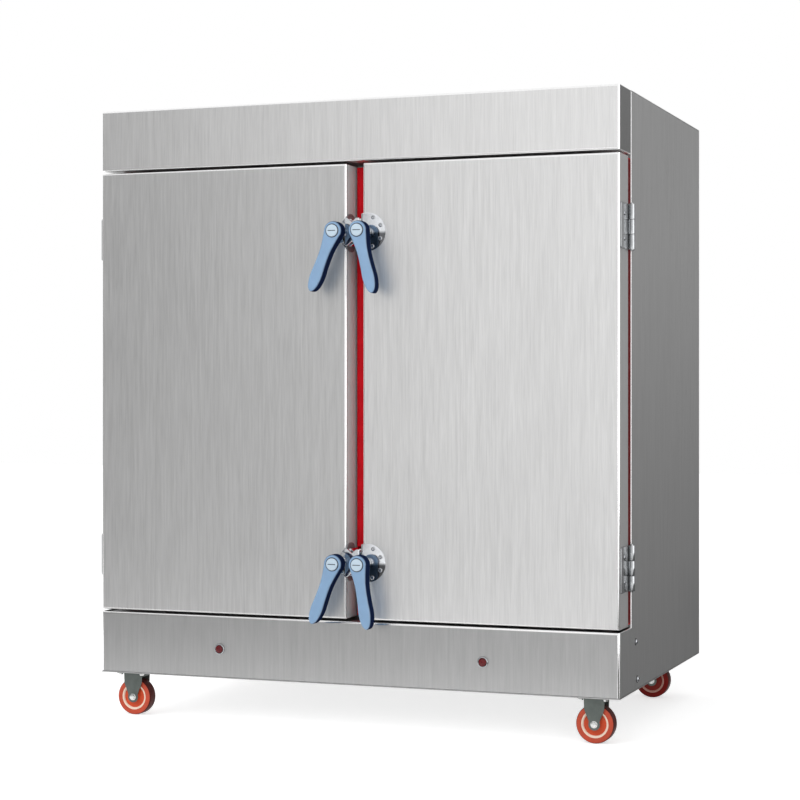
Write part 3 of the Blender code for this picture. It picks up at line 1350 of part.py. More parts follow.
def make_rear_caster(workshop, side, sign):
    """A swivel caster: plate with its kingpin, swivelling fork and a trailing wheel."""
    x = sign * (HALF_WIDTH - CASTER_SIDE_INSET)
    y = BACK_Y - CASTER_REAR_INSET
    plate_low = CASTER_TOP_Z - CASTER_PLATE
    plate = workshop.part("caster_plate_rear_" + side, caster_plate_mesh(workshop, x, y), "zinc")
    race_top = plate_low - SEAT_GAP
    race_low = race_top - RACE_HEIGHT
    pin = rod_mesh("kingpin", KINGPIN_RADIUS, (x, y, race_low), (x, y, plate_low + CASTER_PLATE / 2))
    join(plate, workshop.tool(pin))
    pivot = workshop.pivot("caster_swivel_" + side, (x, y, race_low))
    race = rod_mesh("caster_fork", RACE_RADIUS, (x, y, race_low), (x, y, race_top), ROUND_SIDES)
    fork = workshop.part("caster_fork_rear_" + side, race, "zinc")
    wheel_x = x - CASTER_TRAIL
    add_fork(workshop, fork, x, wheel_x, y, race_low + RACE_HEIGHT / 2)
    hole = KINGPIN_RADIUS + KINGPIN_CLEARANCE
    drill(workshop, hole, (x, y, race_low - OVERRUN), (x, y, race_top + OVERRUN), fork)
    attach(fork, pivot)
    make_wheel(workshop, "caster_wheel_rear_" + side, (wheel_x, y, WHEEL_RADIUS), pivot)


def main():
    clear_scene()
    workshop = Workshop()
    for side, sign in SIDES.items():
        make_side_panel(workshop, side, sign)
    back_panel = make_back_panel(workshop)
    make_top_panel(workshop)
    make_header(workshop)
    base_front = make_base_front(workshop)
    make_base_pan(workshop)
    liner = make_liner(workshop)
    jacket = make_jacket(workshop)
    make_mullion(workshop)
    make_seal(workshop)
    make_false_floor(workshop)
    float_pivot_y, float_height = make_float_valve(workshop, (liner, jacket, back_panel))
    make_float_arm(workshop, float_pivot_y, float_height, None)
    stem_y, handle_z = make_drain(workshop, liner, back_panel)
    make_drain_handle(workshop, stem_y, handle_z, None)
    make_vent(workshop, (liner, jacket, back_panel))
    make_gland(workshop, back_panel)
    for level in FITTING_HEIGHTS:
        make_keeper(workshop, level)
    for side, sign in SIDES.items():
        make_rack(workshop, side, sign)
        make_heater(workshop, side, sign, liner)
        make_lamp(workshop, side, sign, base_front)
        door_pivot = workshop.pivot("door_pivot_" + side, (sign * HINGE_AXIS_X, HINGE_AXIS_Y, DOOR_LOW_Z))
        make_door(workshop, side, sign, door_pivot)
        for level in FITTING_HEIGHTS:
            make_hinge(workshop, level, side, sign, door_pivot)
            make_latch_plate(workshop, level, side, sign, door_pivot)
            make_lever(workshop, level, side, sign, door_pivot)
        make_front_caster(workshop, side, sign)
        make_rear_caster(workshop, side, sign)


main()
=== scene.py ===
"""The looks of an insulated two-door rice steamer cabinet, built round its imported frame.

Lengths are in metres in the frame's own axes: X to the right across the front, Y to the back, Z up.
Every new piece is a surface worked out as whole numpy arrays and rides on a body of the frame.
"""

import logging
import math
from collections.abc import Callable, Sequence
from dataclasses import dataclass
from enum import Enum
from functools import cache

import bmesh
import bpy
import numpy as np
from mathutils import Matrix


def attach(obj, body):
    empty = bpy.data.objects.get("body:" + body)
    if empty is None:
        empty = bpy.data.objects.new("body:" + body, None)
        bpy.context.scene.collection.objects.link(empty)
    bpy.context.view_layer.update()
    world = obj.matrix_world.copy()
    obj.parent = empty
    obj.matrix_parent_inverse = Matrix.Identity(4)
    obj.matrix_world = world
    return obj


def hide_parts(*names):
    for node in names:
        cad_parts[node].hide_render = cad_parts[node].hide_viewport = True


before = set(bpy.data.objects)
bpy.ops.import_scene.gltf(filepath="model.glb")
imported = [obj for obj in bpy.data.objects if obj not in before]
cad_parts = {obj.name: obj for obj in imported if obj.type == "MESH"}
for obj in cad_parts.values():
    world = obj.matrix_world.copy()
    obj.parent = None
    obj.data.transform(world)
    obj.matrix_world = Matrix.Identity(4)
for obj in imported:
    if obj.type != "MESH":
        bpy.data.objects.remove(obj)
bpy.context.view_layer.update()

log = logging.getLogger("rice_steamer_cabinet")

Array = np.ndarray
Pair = tuple[float, float]
Point = tuple[float, float, float]
Colour = tuple[float, float, float, float]
Rows = Sequence[Pair]
Object = bpy.types.Object
Material = bpy.types.Material
Socket = bpy.types.NodeSocket

SMOOTH_ANGLE = 38.0
MERGE_DISTANCE = 1e-6
SUPPORT = 0.0002
FLAT = 0.99
EDGE_STEPS = 4
BEND_STEPS = 5
SHEET = 0.0012
BEND = 0.0042
CORNERS = ((1, 1), (-1, 1), (-1, -1), (1, -1))

# Planes of the cabinet, as distances in front of its middle
FRAME_PLANE = 0.2762
FACE = 0.3685
PLATE_SEAT = 0.3688
PLATE_FRONT = 0.3723

HALF_WIDTH = 0.55
GAP_MIDDLE = 0.014
LATCH_INSET = 0.026
LAMP_SPOT = (0.280, 0.150)

# Sockets of the colour mix node, whose names stand for several types
MIX_FACTOR, MIX_FIRST, MIX_SECOND, MIX_RESULT = 0, 6, 7, 2

DUST = (0.42, 0.36, 0.30, 1.0)
# Near-black of a painted reflection in the lower half of the chrome latch plates
PAINTED_REFLECTION_DARK = (0.045, 0.047, 0.052, 1.0)
LENS_DARK, LENS_LIGHT = (0.045, 0.002, 0.004, 1.0), (0.17, 0.006, 0.010, 1.0)
FOAM_DARK, FOAM_LIGHT = (0.55, 0.47, 0.25, 1.0), (0.78, 0.71, 0.48, 1.0)


class Nodes:
    """Lays out the nodes of one material or world and joins their sockets."""

    def __init__(self, owner: Material | bpy.types.World) -> None:
        """Starts with the owner's plain shader and a node of coordinates.

        Args:
            owner: The material or world.
        """
        owner.use_nodes = True
        self.owner = owner
        self.tree = owner.node_tree
        self.coordinates = self.add("TexCoord")
        self.place = self.coordinates.outputs["Object"]

    def add(self, kind: str, **settings: object) -> bpy.types.Node:
        """Adds a node and sets its properties and, with underscores for spaces, its inputs.

        Args:
            kind: The node's type.
            settings: Values of its properties and inputs.

        Returns:
            The node.
        """
        node = self.tree.nodes.new("ShaderNode" + kind)
        for key, value in settings.items():
            if hasattr(node, key):
                setattr(node, key, value)
            else:
                self.put(node.inputs[key.replace("_", " ")], value)
        return node

    def put(self, socket: Socket, value: object) -> None:
        """Sets a socket, or joins another socket to it.

        Args:
            socket: The input.
            value: A number, a colour or an output socket.
        """
        if isinstance(value, Socket):
            self.tree.links.new(value, socket)
        else:
            socket.default_value = value

    def surface(self, **settings: object) -> None:
        """Sets the surface shader's inputs, with underscores for the spaces in their names.

        Args:
            settings: Values of its inputs.
        """
        shader = self.tree.nodes["Principled BSDF"]
        for key, value in settings.items():
            self.put(shader.inputs[key.replace("_", " ")], value)

    def mapped(self, **settings: Point) -> Socket:
        """Object coordinates times a Scale, turned by a Rotation in radians, moved by a Location."""
        return self.add("Mapping", Vector=self.place, **settings).outputs["Vector"]

    def noise(self, vector: Socket, scale: float, detail: float, roughness: float) -> Socket:
        """A noise value between 0 and 1.

        Args:
            vector: Where it is read.
            scale: Its frequency.
            detail: How many finer layers it has.
            roughness: How strong the finer layers are.

        Returns:
            The value.
        """
        node = self.add("TexNoise", Vector=vector, Scale=scale, Detail=detail, Roughness=roughness)
        return node.outputs["Fac"]

    def ramp(
        self, value: Socket, low: float, high: float, to_low: float | Socket = 0.0, to_high: float = 1.0
    ) -> Socket:
        """The value moved from one range to another, clamped at both ends.

        Args:
            value: What is moved.
            low: Lower end of its range.
            high: Upper end of its range.
            to_low: Result at the lower end.
            to_high: Result at the upper end.

        Returns:
            The moved value.
        """
        node = self.add("MapRange", Value=value, From_Min=low, From_Max=high, To_Min=to_low, To_Max=to_high)
        return node.outputs["Result"]

    def maths(self, kind: str, first: float | Socket, second: float | Socket) -> Socket:
        """The result of a sum on two values.

        Args:
            kind: The operation's name.
            first: First value.
            second: Second value.

        Returns:
            The result.
        """
        node = self.add("Math", operation=kind)
        self.put(node.inputs[0], first)
        self.put(node.inputs[1], second)
        return node.outputs[0]

    def tint(self, factor: Socket, first: Colour | Socket, second: Colour) -> Socket:
        """Two colours mixed.

        Args:
            factor: Share of the second colour.
            first: First colour.
            second: Second colour.

        Returns:
            The mixed colour.
        """
        node = self.add("Mix", data_type="RGBA")
        for index, value in ((MIX_FACTOR, factor), (MIX_FIRST, first), (MIX_SECOND, second)):
            self.put(node.inputs[index], value)
        return node.outputs[MIX_RESULT]

    def bump(self, height: Socket, distance: float) -> None:
        """Lets a height shade the surface; a whole step of it is the distance deep."""
        node = self.add("Bump", Height=height, Distance=distance, Strength=1.0)
        self.surface(Normal=node.outputs["Normal"])


def grey(value: float, warmth: float = 0.0) -> Colour:
    """A linear grey, a little redder and less blue for a positive warmth."""
    return (value * (1 + warmth), value, value * (1 - warmth), 1.0)


class Grain(Enum):
    """The direction that a sheet was ground in: factors of the fine noise along X, Y and Z."""

    UPRIGHT = (1.0, 1.0, 0.022)
    LEVEL = (0.022, 1.0, 1.0)


@dataclass(frozen=True)
class BrushedSteel:
    """Ground stainless sheet: long fine scratches over broad faint bands and a few handling marks.

    The scratches are noise on Object coordinates that are stretched along the grain.
    """

    name: str
    base: float
    rough: float = 0.34
    streak: float = 0.10
    grain: Grain = Grain.UPRIGHT
    warmth: float = 0.0
    metallic: float = 1.0
    shift: Point = (0.0, 0.0, 0.0)
    cast: Point = (1.0, 1.0, 1.0)
    fine: float = 900.0
    wide: float = 210.0
    cloud: float = 2.6
    depth: float = 0.00002

    def _shade(self, level: float) -> tuple[float, ...]:
        """A grey with the sheet's warmth and colour cast."""
        return tuple(part * own for part, own in zip(grey(level, self.warmth), (*self.cast, 1.0)))

    def material(self) -> Material:
        """Makes the material.

        Returns:
            The material.
        """
        nodes = Nodes(bpy.data.materials.new(self.name))
        nodes.place = nodes.mapped(Location=self.shift)
        grain = self.grain.value
        fine = nodes.noise(nodes.mapped(Scale=grain), self.fine, 3.0, 0.65)
        wide = nodes.noise(nodes.mapped(Scale=tuple(axis**0.85 for axis in grain)), self.wide, 3.0, 0.62)
        cloud = nodes.noise(nodes.mapped(Scale=(1.0, 1.0, 0.55)), self.cloud, 2.0, 0.5)
        streaks = nodes.maths("ADD", nodes.maths("MULTIPLY", fine, 0.45), nodes.maths("MULTIPLY", wide, 0.55))
        low, high = self.base * (1 - self.streak), self.base * (1 + self.streak)
        colour = nodes.tint(nodes.ramp(streaks, 0.34, 0.66), self._shade(low), self._shade(high))
        smear = nodes.ramp(cloud, 0.35, 0.7, 0.0, 0.20)
        colour = nodes.tint(smear, colour, self._shade(self.base * 0.93))
        scratch, patch = nodes.ramp(fine, 0.3, 0.7, -0.05, 0.06), nodes.ramp(cloud, 0.3, 0.7, -0.03, 0.04)
        rough = nodes.maths("ADD", nodes.maths("ADD", scratch, patch), self.rough)
        nodes.surface(Base_Color=colour, Metallic=self.metallic, Roughness=rough)
        nodes.bump(fine, self.depth)
        return nodes.owner


@dataclass(frozen=True)
class PolishedMetal:
    """Plated or polished metal: near mirror, with faint rub marks and dulling in patches."""

    name: str
    colour: Point
    rough: float = 0.10
    mark: float = 0.06
    size: float = 120.0
    metallic: float = 1.0
    # Names a point attribute that paints a dark reflection into the plating
    shade: str = ""
    tilt: Point = (math.radians(18.0), math.radians(25.0), 0.0)
    depth: float = 0.00003

    def material(self) -> Material:
        """Makes the material; where a shade attribute is named, a painted reflection darkens the plating with
        it.

        Returns:
            The material.
        """
        nodes = Nodes(bpy.data.materials.new(self.name))
        patch = nodes.noise(nodes.place, self.size, 4.0, 0.6)
        rub = nodes.noise(nodes.mapped(Scale=(1.0, 1.0, 0.15), Rotation=self.tilt), self.size * 8, 2.0, 0.6)
        dull = tuple(channel * 0.8 for channel in self.colour)
        colour = nodes.tint(nodes.ramp(patch, 0.4, 0.75, 0.0, 0.6), (*self.colour, 1.0), (*dull, 1.0))
        # Painted reflection: the plating turns near-black where the attribute is 1
        if self.shade:
            dark = nodes.add("Attribute", attribute_name=self.shade).outputs["Fac"]
            colour = nodes.tint(dark, colour, PAINTED_REFLECTION_DARK)
        spots, scuffs = nodes.ramp(patch, 0.35, 0.7, 0.0, self.mark), nodes.ramp(rub, 0.4, 0.8, 0.0, 0.04)
        rough = nodes.maths("ADD", nodes.maths("ADD", spots, scuffs), self.rough)
        nodes.surface(Base_Color=colour, Metallic=self.metallic, Roughness=rough)
        nodes.bump(patch, self.depth)
        return nodes.owner


@dataclass(frozen=True)
class Moulded:
    """Moulded plastic or rubber: a faint mottle in its colour and a fine texture in its face."""

    name: str
    colour: Point
    rough: float = 0.4
    mottle: float = 0.12
    texture: float = 700.0
    depth: float = 0.00003
    coat: float = 0.0
    specular: float = 0.5
    dust: float = 0.0
    # Painted shade: a dark colour for a grip's sides, mixed in by a point attribute
    flank_shade: Point | None = None

    def material(self) -> Material:
        """Makes the material; a painted shade colour for the sides takes over where the piece's attribute of
        that name is 1.

        Returns:
            The material.
        """
        nodes = Nodes(bpy.data.materials.new(self.name))
        cloud = nodes.noise(nodes.place, 28.0, 3.0, 0.55)
        skin = nodes.noise(nodes.place, self.texture, 3.0, 0.6)
        darker = tuple(channel * (1 - self.mottle) for channel in self.colour)
        lighter = tuple(min(channel * (1 + self.mottle), 1.0) for channel in self.colour)
        colour = nodes.tint(nodes.ramp(cloud, 0.3, 0.7), (*darker, 1.0), (*lighter, 1.0))
        if self.dust:
            speck = nodes.ramp(nodes.noise(nodes.place, 95.0, 5.0, 0.7), 0.52, 0.78, 0.0, self.dust)
            colour = nodes.tint(speck, colour, DUST)
        coat, specular = self.coat, self.specular
        # Painted shade on the sides: dark colour, and no coat or specular there
        if self.flank_shade is not None:
            behind = nodes.add("Attribute", attribute_name="flank_shade").outputs["Fac"]
            colour = nodes.tint(behind, colour, (*self.flank_shade, 1.0))
            coat = nodes.ramp(behind, 0.0, 0.6, coat, 0.0)
            specular = nodes.ramp(behind, 0.0, 1.0, specular, 0.0)
        rough = nodes.maths("ADD", nodes.ramp(skin, 0.3, 0.7, -0.04, 0.06), self.rough)
        nodes.surface(Base_Color=colour, Roughness=rough, Specular_IOR_Level=specular)
        nodes.surface(Coat_Weight=coat, Coat_Roughness=0.06)
        nodes.bump(skin, self.depth)
        return nodes.owner


@dataclass(frozen=True)
class LensGlass:
    """The lamps' red glass: deep colour, a thin coat and a fine ribbing inside."""

    name: str

    def material(self) -> Material:
        """Makes the material.

        Returns:
            The material.
        """
        nodes = Nodes(bpy.data.materials.new(self.name))
        facets = nodes.noise(nodes.place, 900.0, 1.0, 0.4)
        colour = nodes.tint(nodes.ramp(facets, 0.35, 0.65), LENS_DARK, LENS_LIGHT)
        nodes.surface(Base_Color=colour, Roughness=0.25, Specular_IOR_Level=0.3)
        nodes.surface(Coat_Weight=0.1, Coat_Roughness=0.05)
        nodes.bump(facets, 0.00008)
        return nodes.owner


@dataclass(frozen=True)
class FoamFinish:
    """Cut foam: open cells as a Voronoi pattern, dull all over."""

    name: str

    def material(self) -> Material:
        """Makes the material.

        Returns:
            The material.
        """
        nodes = Nodes(bpy.data.materials.new(self.name))
        cells = nodes.add("TexVoronoi", Vector=nodes.place, Scale=420.0).outputs["Distance"]
        colour = nodes.tint(nodes.ramp(cells, 0.0, 0.6), FOAM_DARK, FOAM_LIGHT)
        nodes.surface(Base_Color=colour, Roughness=0.92)
        nodes.bump(cells, 0.0004)
        return nodes.owner


class Finish(Enum):
    """Every finish of the cabinet, as the recipe of its material."""

    HEADER = BrushedSteel("ground_steel_header", 0.80, streak=0.09, warmth=0.003, shift=(3.1, 0.7, 1.9))
    # Painted shade: the left door is a darker copy of the doors' steel
    DOOR_LEFT = BrushedSteel("ground_steel_left_door_painted_shade", 0.65, 0.42, 0.11, warmth=0.002)
    DOOR_RIGHT = BrushedSteel("ground_steel_right_door", 0.78, 0.42, warmth=0.003, shift=(5.3, 2.2, 4.7))
    # Painted shade: the header's ends are a dark, less metallic copy of the steel
    HEADER_SIDE_SHADED = BrushedSteel(
        "header_side_painted_shade", 0.17, 0.42, 0.05, metallic=0.45, shift=(0.9, 4.1, 2.3)
    )
    # Painted shade: the doors' sides are a darker, less metallic copy of the steel
    DOOR_SIDE_SHADED = BrushedSteel("door_side_painted_shade", 0.44, 0.46, 0.05, metallic=0.30, shift=(2.9, 1.1, 3.3))
    # Painted light: a lighter, non-metallic copy of the steel with a colour cast, for the left door's side in
    # the gap
    GAP_SIDE_LIT = BrushedSteel(
        "gap_side_painted_light", 0.82, 0.50, 0.04, metallic=0.0, shift=(1.9, 2.1, 0.3),
        cast=(0.935, 1.01, 1.005),
    )
    # Painted highlight: the bends are a brighter copy of the steel; their lower roughness is real
    BEND = BrushedSteel("bent_edge_painted_highlight", 0.93, 0.16, 0.04, shift=(0.3, 1.7, 2.1))
    # Painted shade: the side panels and the base front are darker copies of the steel
    SIDE_PANEL_SHADED = BrushedSteel("ground_steel_side_painted_shade", 0.49, streak=0.11)
    BASE = BrushedSteel("ground_steel_base_painted_shade", 0.47, 0.38, 0.08, shift=(1.3, 2.9, 0.6))
    TOP = BrushedSteel("ground_steel_top", 0.60, grain=Grain.LEVEL)
    BACK = BrushedSteel("sheet_steel_back", 0.46, 0.40, 0.05, shift=(1.7, 3.3, 0.4))
    INNER = BrushedSteel("inner_sheet_steel", 0.56, 0.30, 0.08)
    HINGE = PolishedMetal("hinge_plate", (0.40, 0.41, 0.42), 0.11, 0.08)
    # Painted shade: the latch plates' fold is a darker, duller copy of the chrome
    FOLD_SHADED = PolishedMetal("latch_fold_painted_shade", (0.30, 0.31, 0.32), 0.34, 0.10, metallic=0.35)
    # On the latch discs the shade attribute paints a dark reflection into the lower half
    CHROME = PolishedMetal("bright_chrome", (0.74, 0.76, 0.79), 0.07, shade="shade")
    SCREW = PolishedMetal("plated_screw", (0.42, 0.43, 0.45), 0.12)
    # Zinc, darkened in part as painted shade under the cabinet
    ZINC = PolishedMetal("zinc_with_painted_shade", (0.13, 0.148, 0.138), 0.40, 0.16, 60.0, 0.7)
    BOLT = PolishedMetal("bright_zinc_bolt", (0.70, 0.71, 0.70), 0.22)
    BRASS = PolishedMetal("dull_brass", (0.62, 0.44, 0.19), 0.26, 0.14)
    HEATER = PolishedMetal("heater_sheath", (0.42, 0.39, 0.35), 0.30, 0.16)
    SILICONE = Moulded("red_silicone_rubber", (0.74, 0.010, 0.020), 0.55, texture=420.0, specular=0.04)
    # Painted shade: a dark copy of the silicone for the seal's faces across X
    SILICONE_SHADED_SIDE = Moulded("red_silicone_painted_shade", (0.15, 0.006, 0.008), 0.6, texture=420.0, specular=0.02)
    # The last colour is painted shade on the grip's sides
    GRIP = Moulded(
        "steel_blue_grip", (0.226, 0.37, 0.565), 0.20, 0.05, 260.0, 0.00001, 0.4, flank_shade=(0.010, 0.018, 0.055)
    )
    # Painted shade: the near-black ring round each cap stands for the groove's shade
    GROOVE = Moulded("groove_painted_shade", (0.016, 0.024, 0.042), 0.34, 0.10)
    CAP = Moulded("pale_blue_cap", (0.52, 0.64, 0.74), 0.20, 0.03, coat=0.3)
    # Painted shade: the near-black mark stands for the shade in the cap's slot
    SLOT = Moulded("slot_painted_shade", (0.030, 0.040, 0.060), 0.5, 0.10)
    TREAD = Moulded("orange_red_tread", (0.54, 0.072, 0.032), 0.42, 0.14, 300.0, dust=0.08, specular=0.3)
    # Painted shade: the rear wheels' walls are a darker copy of the tread
    TREAD_SHADED = Moulded("tread_painted_shade", (0.215, 0.012, 0.009), 0.42, 0.14, 300.0, specular=0.1)
    # Painted shade: the wheels' running face is painted near-black
    RUNNING_FACE_SHADED = Moulded("running_face_painted_shade", (0.075, 0.010, 0.008), 0.5, 0.2, specular=0.15)
    RING = Moulded("cream_ring", (0.92, 0.74, 0.60), 0.45, 0.06, dust=0.05)
    # Painted shade: the rear wheels' ring is a darker copy of the cream ring
    RING_SHADED = Moulded("ring_painted_shade", (0.62, 0.33, 0.27), 0.45, 0.06, dust=0.02)
    HUB = Moulded("hub_orange_red", (0.62, 0.070, 0.018), 0.42, 0.14, dust=0.06, specular=0.3)
    # Painted shade: the rear wheels' hub is a darker copy of the hub
    HUB_SHADED = Moulded("hub_painted_shade", (0.25, 0.014, 0.008), 0.36, dust=0.02, specular=0.2)
    # Black nylon of the cable gland; on the foot screws the same black rings are painted shadow
    NYLON = Moulded("black_nylon_and_painted_shadow", (0.020, 0.020, 0.021), 0.42, 0.15)
    VINYL = Moulded("red_vinyl_sleeve", (0.40, 0.016, 0.012), 0.34, 0.10)
    LENS = LensGlass("red_lens")
    FOAM = FoamFinish("insulating_foam")

    @cache
    def made(self) -> Material:
        """The finish's material, made the first time that it is asked for."""
        return self.value.material()


@dataclass(frozen=True)
class Skin:
    """The other finishes of a sheet, by the way its faces look: either side, only -X, and the bends; each is
    a copy painted with shade, light or highlight.

    The bends that look further down than the lowest keep the sheet's own finish, without the painted
    highlight.
    """

    sides: Finish | None = None
    left: Finish | None = None
    bends: Finish | None = None
    lowest: float = -1.0

    def dress(self, mesh: bpy.types.Mesh, main: Finish) -> None:
        """Gives the mesh its materials and each face its index: main 0, +X 1, bends 2 and -X 3.

        Args:
            mesh: The piece's mesh.
            main: The finish of all other faces.
        """
        for finish in (main, self.sides or main, self.bends or main, self.left or self.sides or main):
            mesh.materials.append(finish.made())
        normals = np.zeros(len(mesh.polygons) * 3, np.float32)
        mesh.polygons.foreach_get("normal", normals)
        normals = normals.reshape(-1, 3)
        which = np.where(normals[:, 0] > FLAT, 1, np.where(normals[:, 0] < -FLAT, 3, 0))
        which[(np.abs(normals).max(axis=1) < FLAT) & (normals[:, 2] > self.lowest)] = 2
        mesh.polygons.foreach_set("material_index", which.astype(np.int32))


class Facing(Enum):
    """Where a piece's own Z looks: each value holds the world directions of its X, Y and Z."""

    FRONT = ((1, 0, 0), (0, 0, 1), (0, -1, 0))
    BACK = ((-1, 0, 0), (0, 0, 1), (0, 1, 0))
    RIGHT = ((0, 1, 0), (0, 0, 1), (1, 0, 0))
    LEFT = ((0, -1, 0), (0, 0, 1), (-1, 0, 0))
    UP = ((1, 0, 0), (0, 1, 0), (0, 0, 1))
    DOWN = ((1, 0, 0), (0, -1, 0), (0, 0, -1))

    def at(self, x: float, y: float, z: float, turn: float = 0.0) -> Array:
        """The place matrix of a piece that stands at a point, turned about its own Z.

        Args:
            x: World X of the piece's origin.
            y: World Y of the piece's origin.
            z: World Z of the piece's origin.
            turn: Degrees about the piece's own Z, anticlockwise as seen from where it looks.

        Returns:
            A 4 by 4 matrix.
        """
        place = np.eye(4)
        place[:3, :3] = np.array(self.value, float).T
        place[:3, 3] = (x, y, z)
        angle = math.radians(turn)
        spin = np.eye(4)
        spin[:2, :2] = ((math.cos(angle), -math.sin(angle)), (math.sin(angle), math.cos(angle)))
        return place @ spin


def circle(radius: float, steps: int) -> Array:
    """Points of a circle, anticlockwise: radius times (cos a, sin a), steps by 2."""
    angles = np.linspace(0.0, 2.0 * np.pi, steps, endpoint=False)
    return np.column_stack((np.cos(angles), np.sin(angles))) * radius


def arc(radius: float, start: float, end: float, steps: int, centre: Pair = (0.0, 0.0)) -> Array:
    """Points of an arc from one angle to another: centre plus radius times (cos a, sin a).

    Args:
        radius: The arc's radius.
        start: First angle in degrees.
        end: Last angle in degrees.
        steps: How many stretches it gets.
        centre: The arc's middle.

    Returns:
        An array of steps + 1 by 2.
    """
    angles = np.radians(np.linspace(start, end, steps + 1))
    return np.column_stack((np.cos(angles), np.sin(angles))) * radius + np.array(centre)


def rounded_rectangle(half_width: float, half_height: float, radius: float, steps: int) -> Array:
    """A rectangle with a quarter circle at each corner, anticlockwise from its right side.

    Args:
        half_width: Half of its width.
        half_height: Half of its height.
        radius: The corners' radius.
        steps: Stretches in each corner.

    Returns:
        An array of 4 * (steps + 1) by 2.
    """
    radius = max(radius, MERGE_DISTANCE)
    quarters = []
    for turn, (sx, sy) in enumerate(CORNERS):
        centre = (sx * (half_width - radius), sy * (half_height - radius))
        quarters.append(arc(radius, 90.0 * turn, 90.0 * (turn + 1), steps, centre))
    return np.vstack(quarters)


def tray_outline(half_width: float, half_height: float) -> Callable[[float], Array]:
    """The outline of a rectangular tray of sheet, for any inset.

    Args:
        half_width: Half of its width.
        half_height: Half of its height.

    Returns:
        The function that gives the outline.
    """

    def outline(inset: float) -> Array:
        """The rectangle with its corners, drawn in by the inset."""
        corner = max(SHEET * 1.5 - inset, 0.0)
        return rounded_rectangle(half_width - inset, half_height - inset, corner, 3)

    return outline


def smooth_loop(knots: Rows, steps: int) -> Array:
    """A closed curve through the knots: the Catmull-Rom cubic between each pair of them.

    Args:
        knots: The points that it passes through, in order.
        steps: Stretches between two knots.

    Returns:
        An array of len(knots) * steps by 2.
    """
    points = np.array(knots, float)
    before, after, beyond = (np.roll(points, shift, axis=0) for shift in (1, -1, -2))
    t = (np.arange(steps) / steps)[None, :, None]
    p0, p1, p2, p3 = (p[:, None, :] for p in (before, points, after, beyond))
    curve = p1 + 0.5 * t * (p2 - p0 + t * (2 * p0 - 5 * p1 + 4 * p2 - p3 + t * (3 * (p1 - p2) + p3 - p0)))
    return curve.reshape(-1, 2)


def drawn_in(outline: Array, inset: float) -> Array:
    """The outline moved inwards along its corners' mitred normals by the inset.

    Args:
        outline: A closed outline of n by 2.
        inset: How far each side moves inwards.

    Returns:
        The moved outline, n by 2.
    """
    forward = np.roll(outline, -1, axis=0) - outline
    area = np.sum(outline[:, 0] * np.roll(outline[:, 1], -1) - np.roll(outline[:, 0], -1) * outline[:, 1])
    length = np.maximum(np.linalg.norm(forward, axis=1, keepdims=True), 1e-12)
    inward = np.column_stack((-forward[:, 1], forward[:, 0])) / length * math.copysign(1.0, area)
    mitre = inward + np.roll(inward, 1, axis=0)
    mitre = mitre / np.maximum(np.sum(mitre * inward, axis=1, keepdims=True), 0.3)
    return outline + mitre * inset


def raised(flat: Array, height: float | Array) -> Array:
    """Flat points at a height, one for all of them or one for each: n by 3."""
    return np.column_stack((flat, np.broadcast_to(height, (len(flat),))))


def crowned(outline: Array, spine: Array, shares: Sequence[float], heights: Sequence[float | Array]) -> Array:
    """Rings drawn from the outline towards a spine: spine + (outline - spine) * share, each at its height.

    Args:
        outline: The outermost ring, n by 2.
        spine: The point that each point of it closes on, n by 2.
        shares: How far out each ring lies, from 0 on the spine to 1 on the outline.
        heights: Each ring's height, one for all its points or one for each.

    Returns:
        An array of rings by n by 3.
    """
    return np.stack([raised(spine + (outline - spine) * share, high) for share, high in zip(shares, heights)])


def edge_rows(low: float, high: float, edge: float) -> list[Pair]:
    """Rows of a plate with quarter-round edges: inset e (1 - cos a) at e (1 - sin a) from each face.

    Args:
        low: Height of the back face.
        high: Height of the front face.
        edge: Radius of the edges.

    Returns:
        The inset and height of each row, from the back face to the front.
    """
    angles = [math.radians(90.0 * step / EDGE_STEPS) for step in range(EDGE_STEPS + 1)]
    front = [(edge * (1 - math.cos(a)), high - edge * (1 - math.sin(a))) for a in angles]
    back = [(inset, low + high - height) for inset, height in front[::-1]]
    middle = []
    if high - low > 2 * edge + 4 * SUPPORT:
        middle = [(0.0, low + edge + SUPPORT), (0.0, high - edge - SUPPORT)]
    return [(edge + SUPPORT, low)] + back + middle + front + [(edge + SUPPORT, high)]


def linked(name: str, data: bpy.types.ID) -> Object:
    """Makes an object and links it to the scene.

    Args:
        name: Its name.
        data: Its mesh, light or camera.

    Returns:
        The object.
    """
    obj = bpy.data.objects.new(name, data)
    bpy.context.scene.collection.objects.link(obj)
    return obj


def graded(piece: Object, name: str, rule: Callable[[Array], Array]) -> None:
    """Writes a point attribute of a piece for its material.

    Args:
        piece: The finished piece.
        name: The attribute's name.
        rule: Gives the values from the points, n by 3.
    """
    points = np.zeros(len(piece.data.vertices) * 3, np.float32)
    piece.data.vertices.foreach_get("co", points)
    layer = piece.data.attributes.new(name, "FLOAT", "POINT")
    layer.data.foreach_set("value", rule(points.reshape(-1, 3)).astype(np.float32))


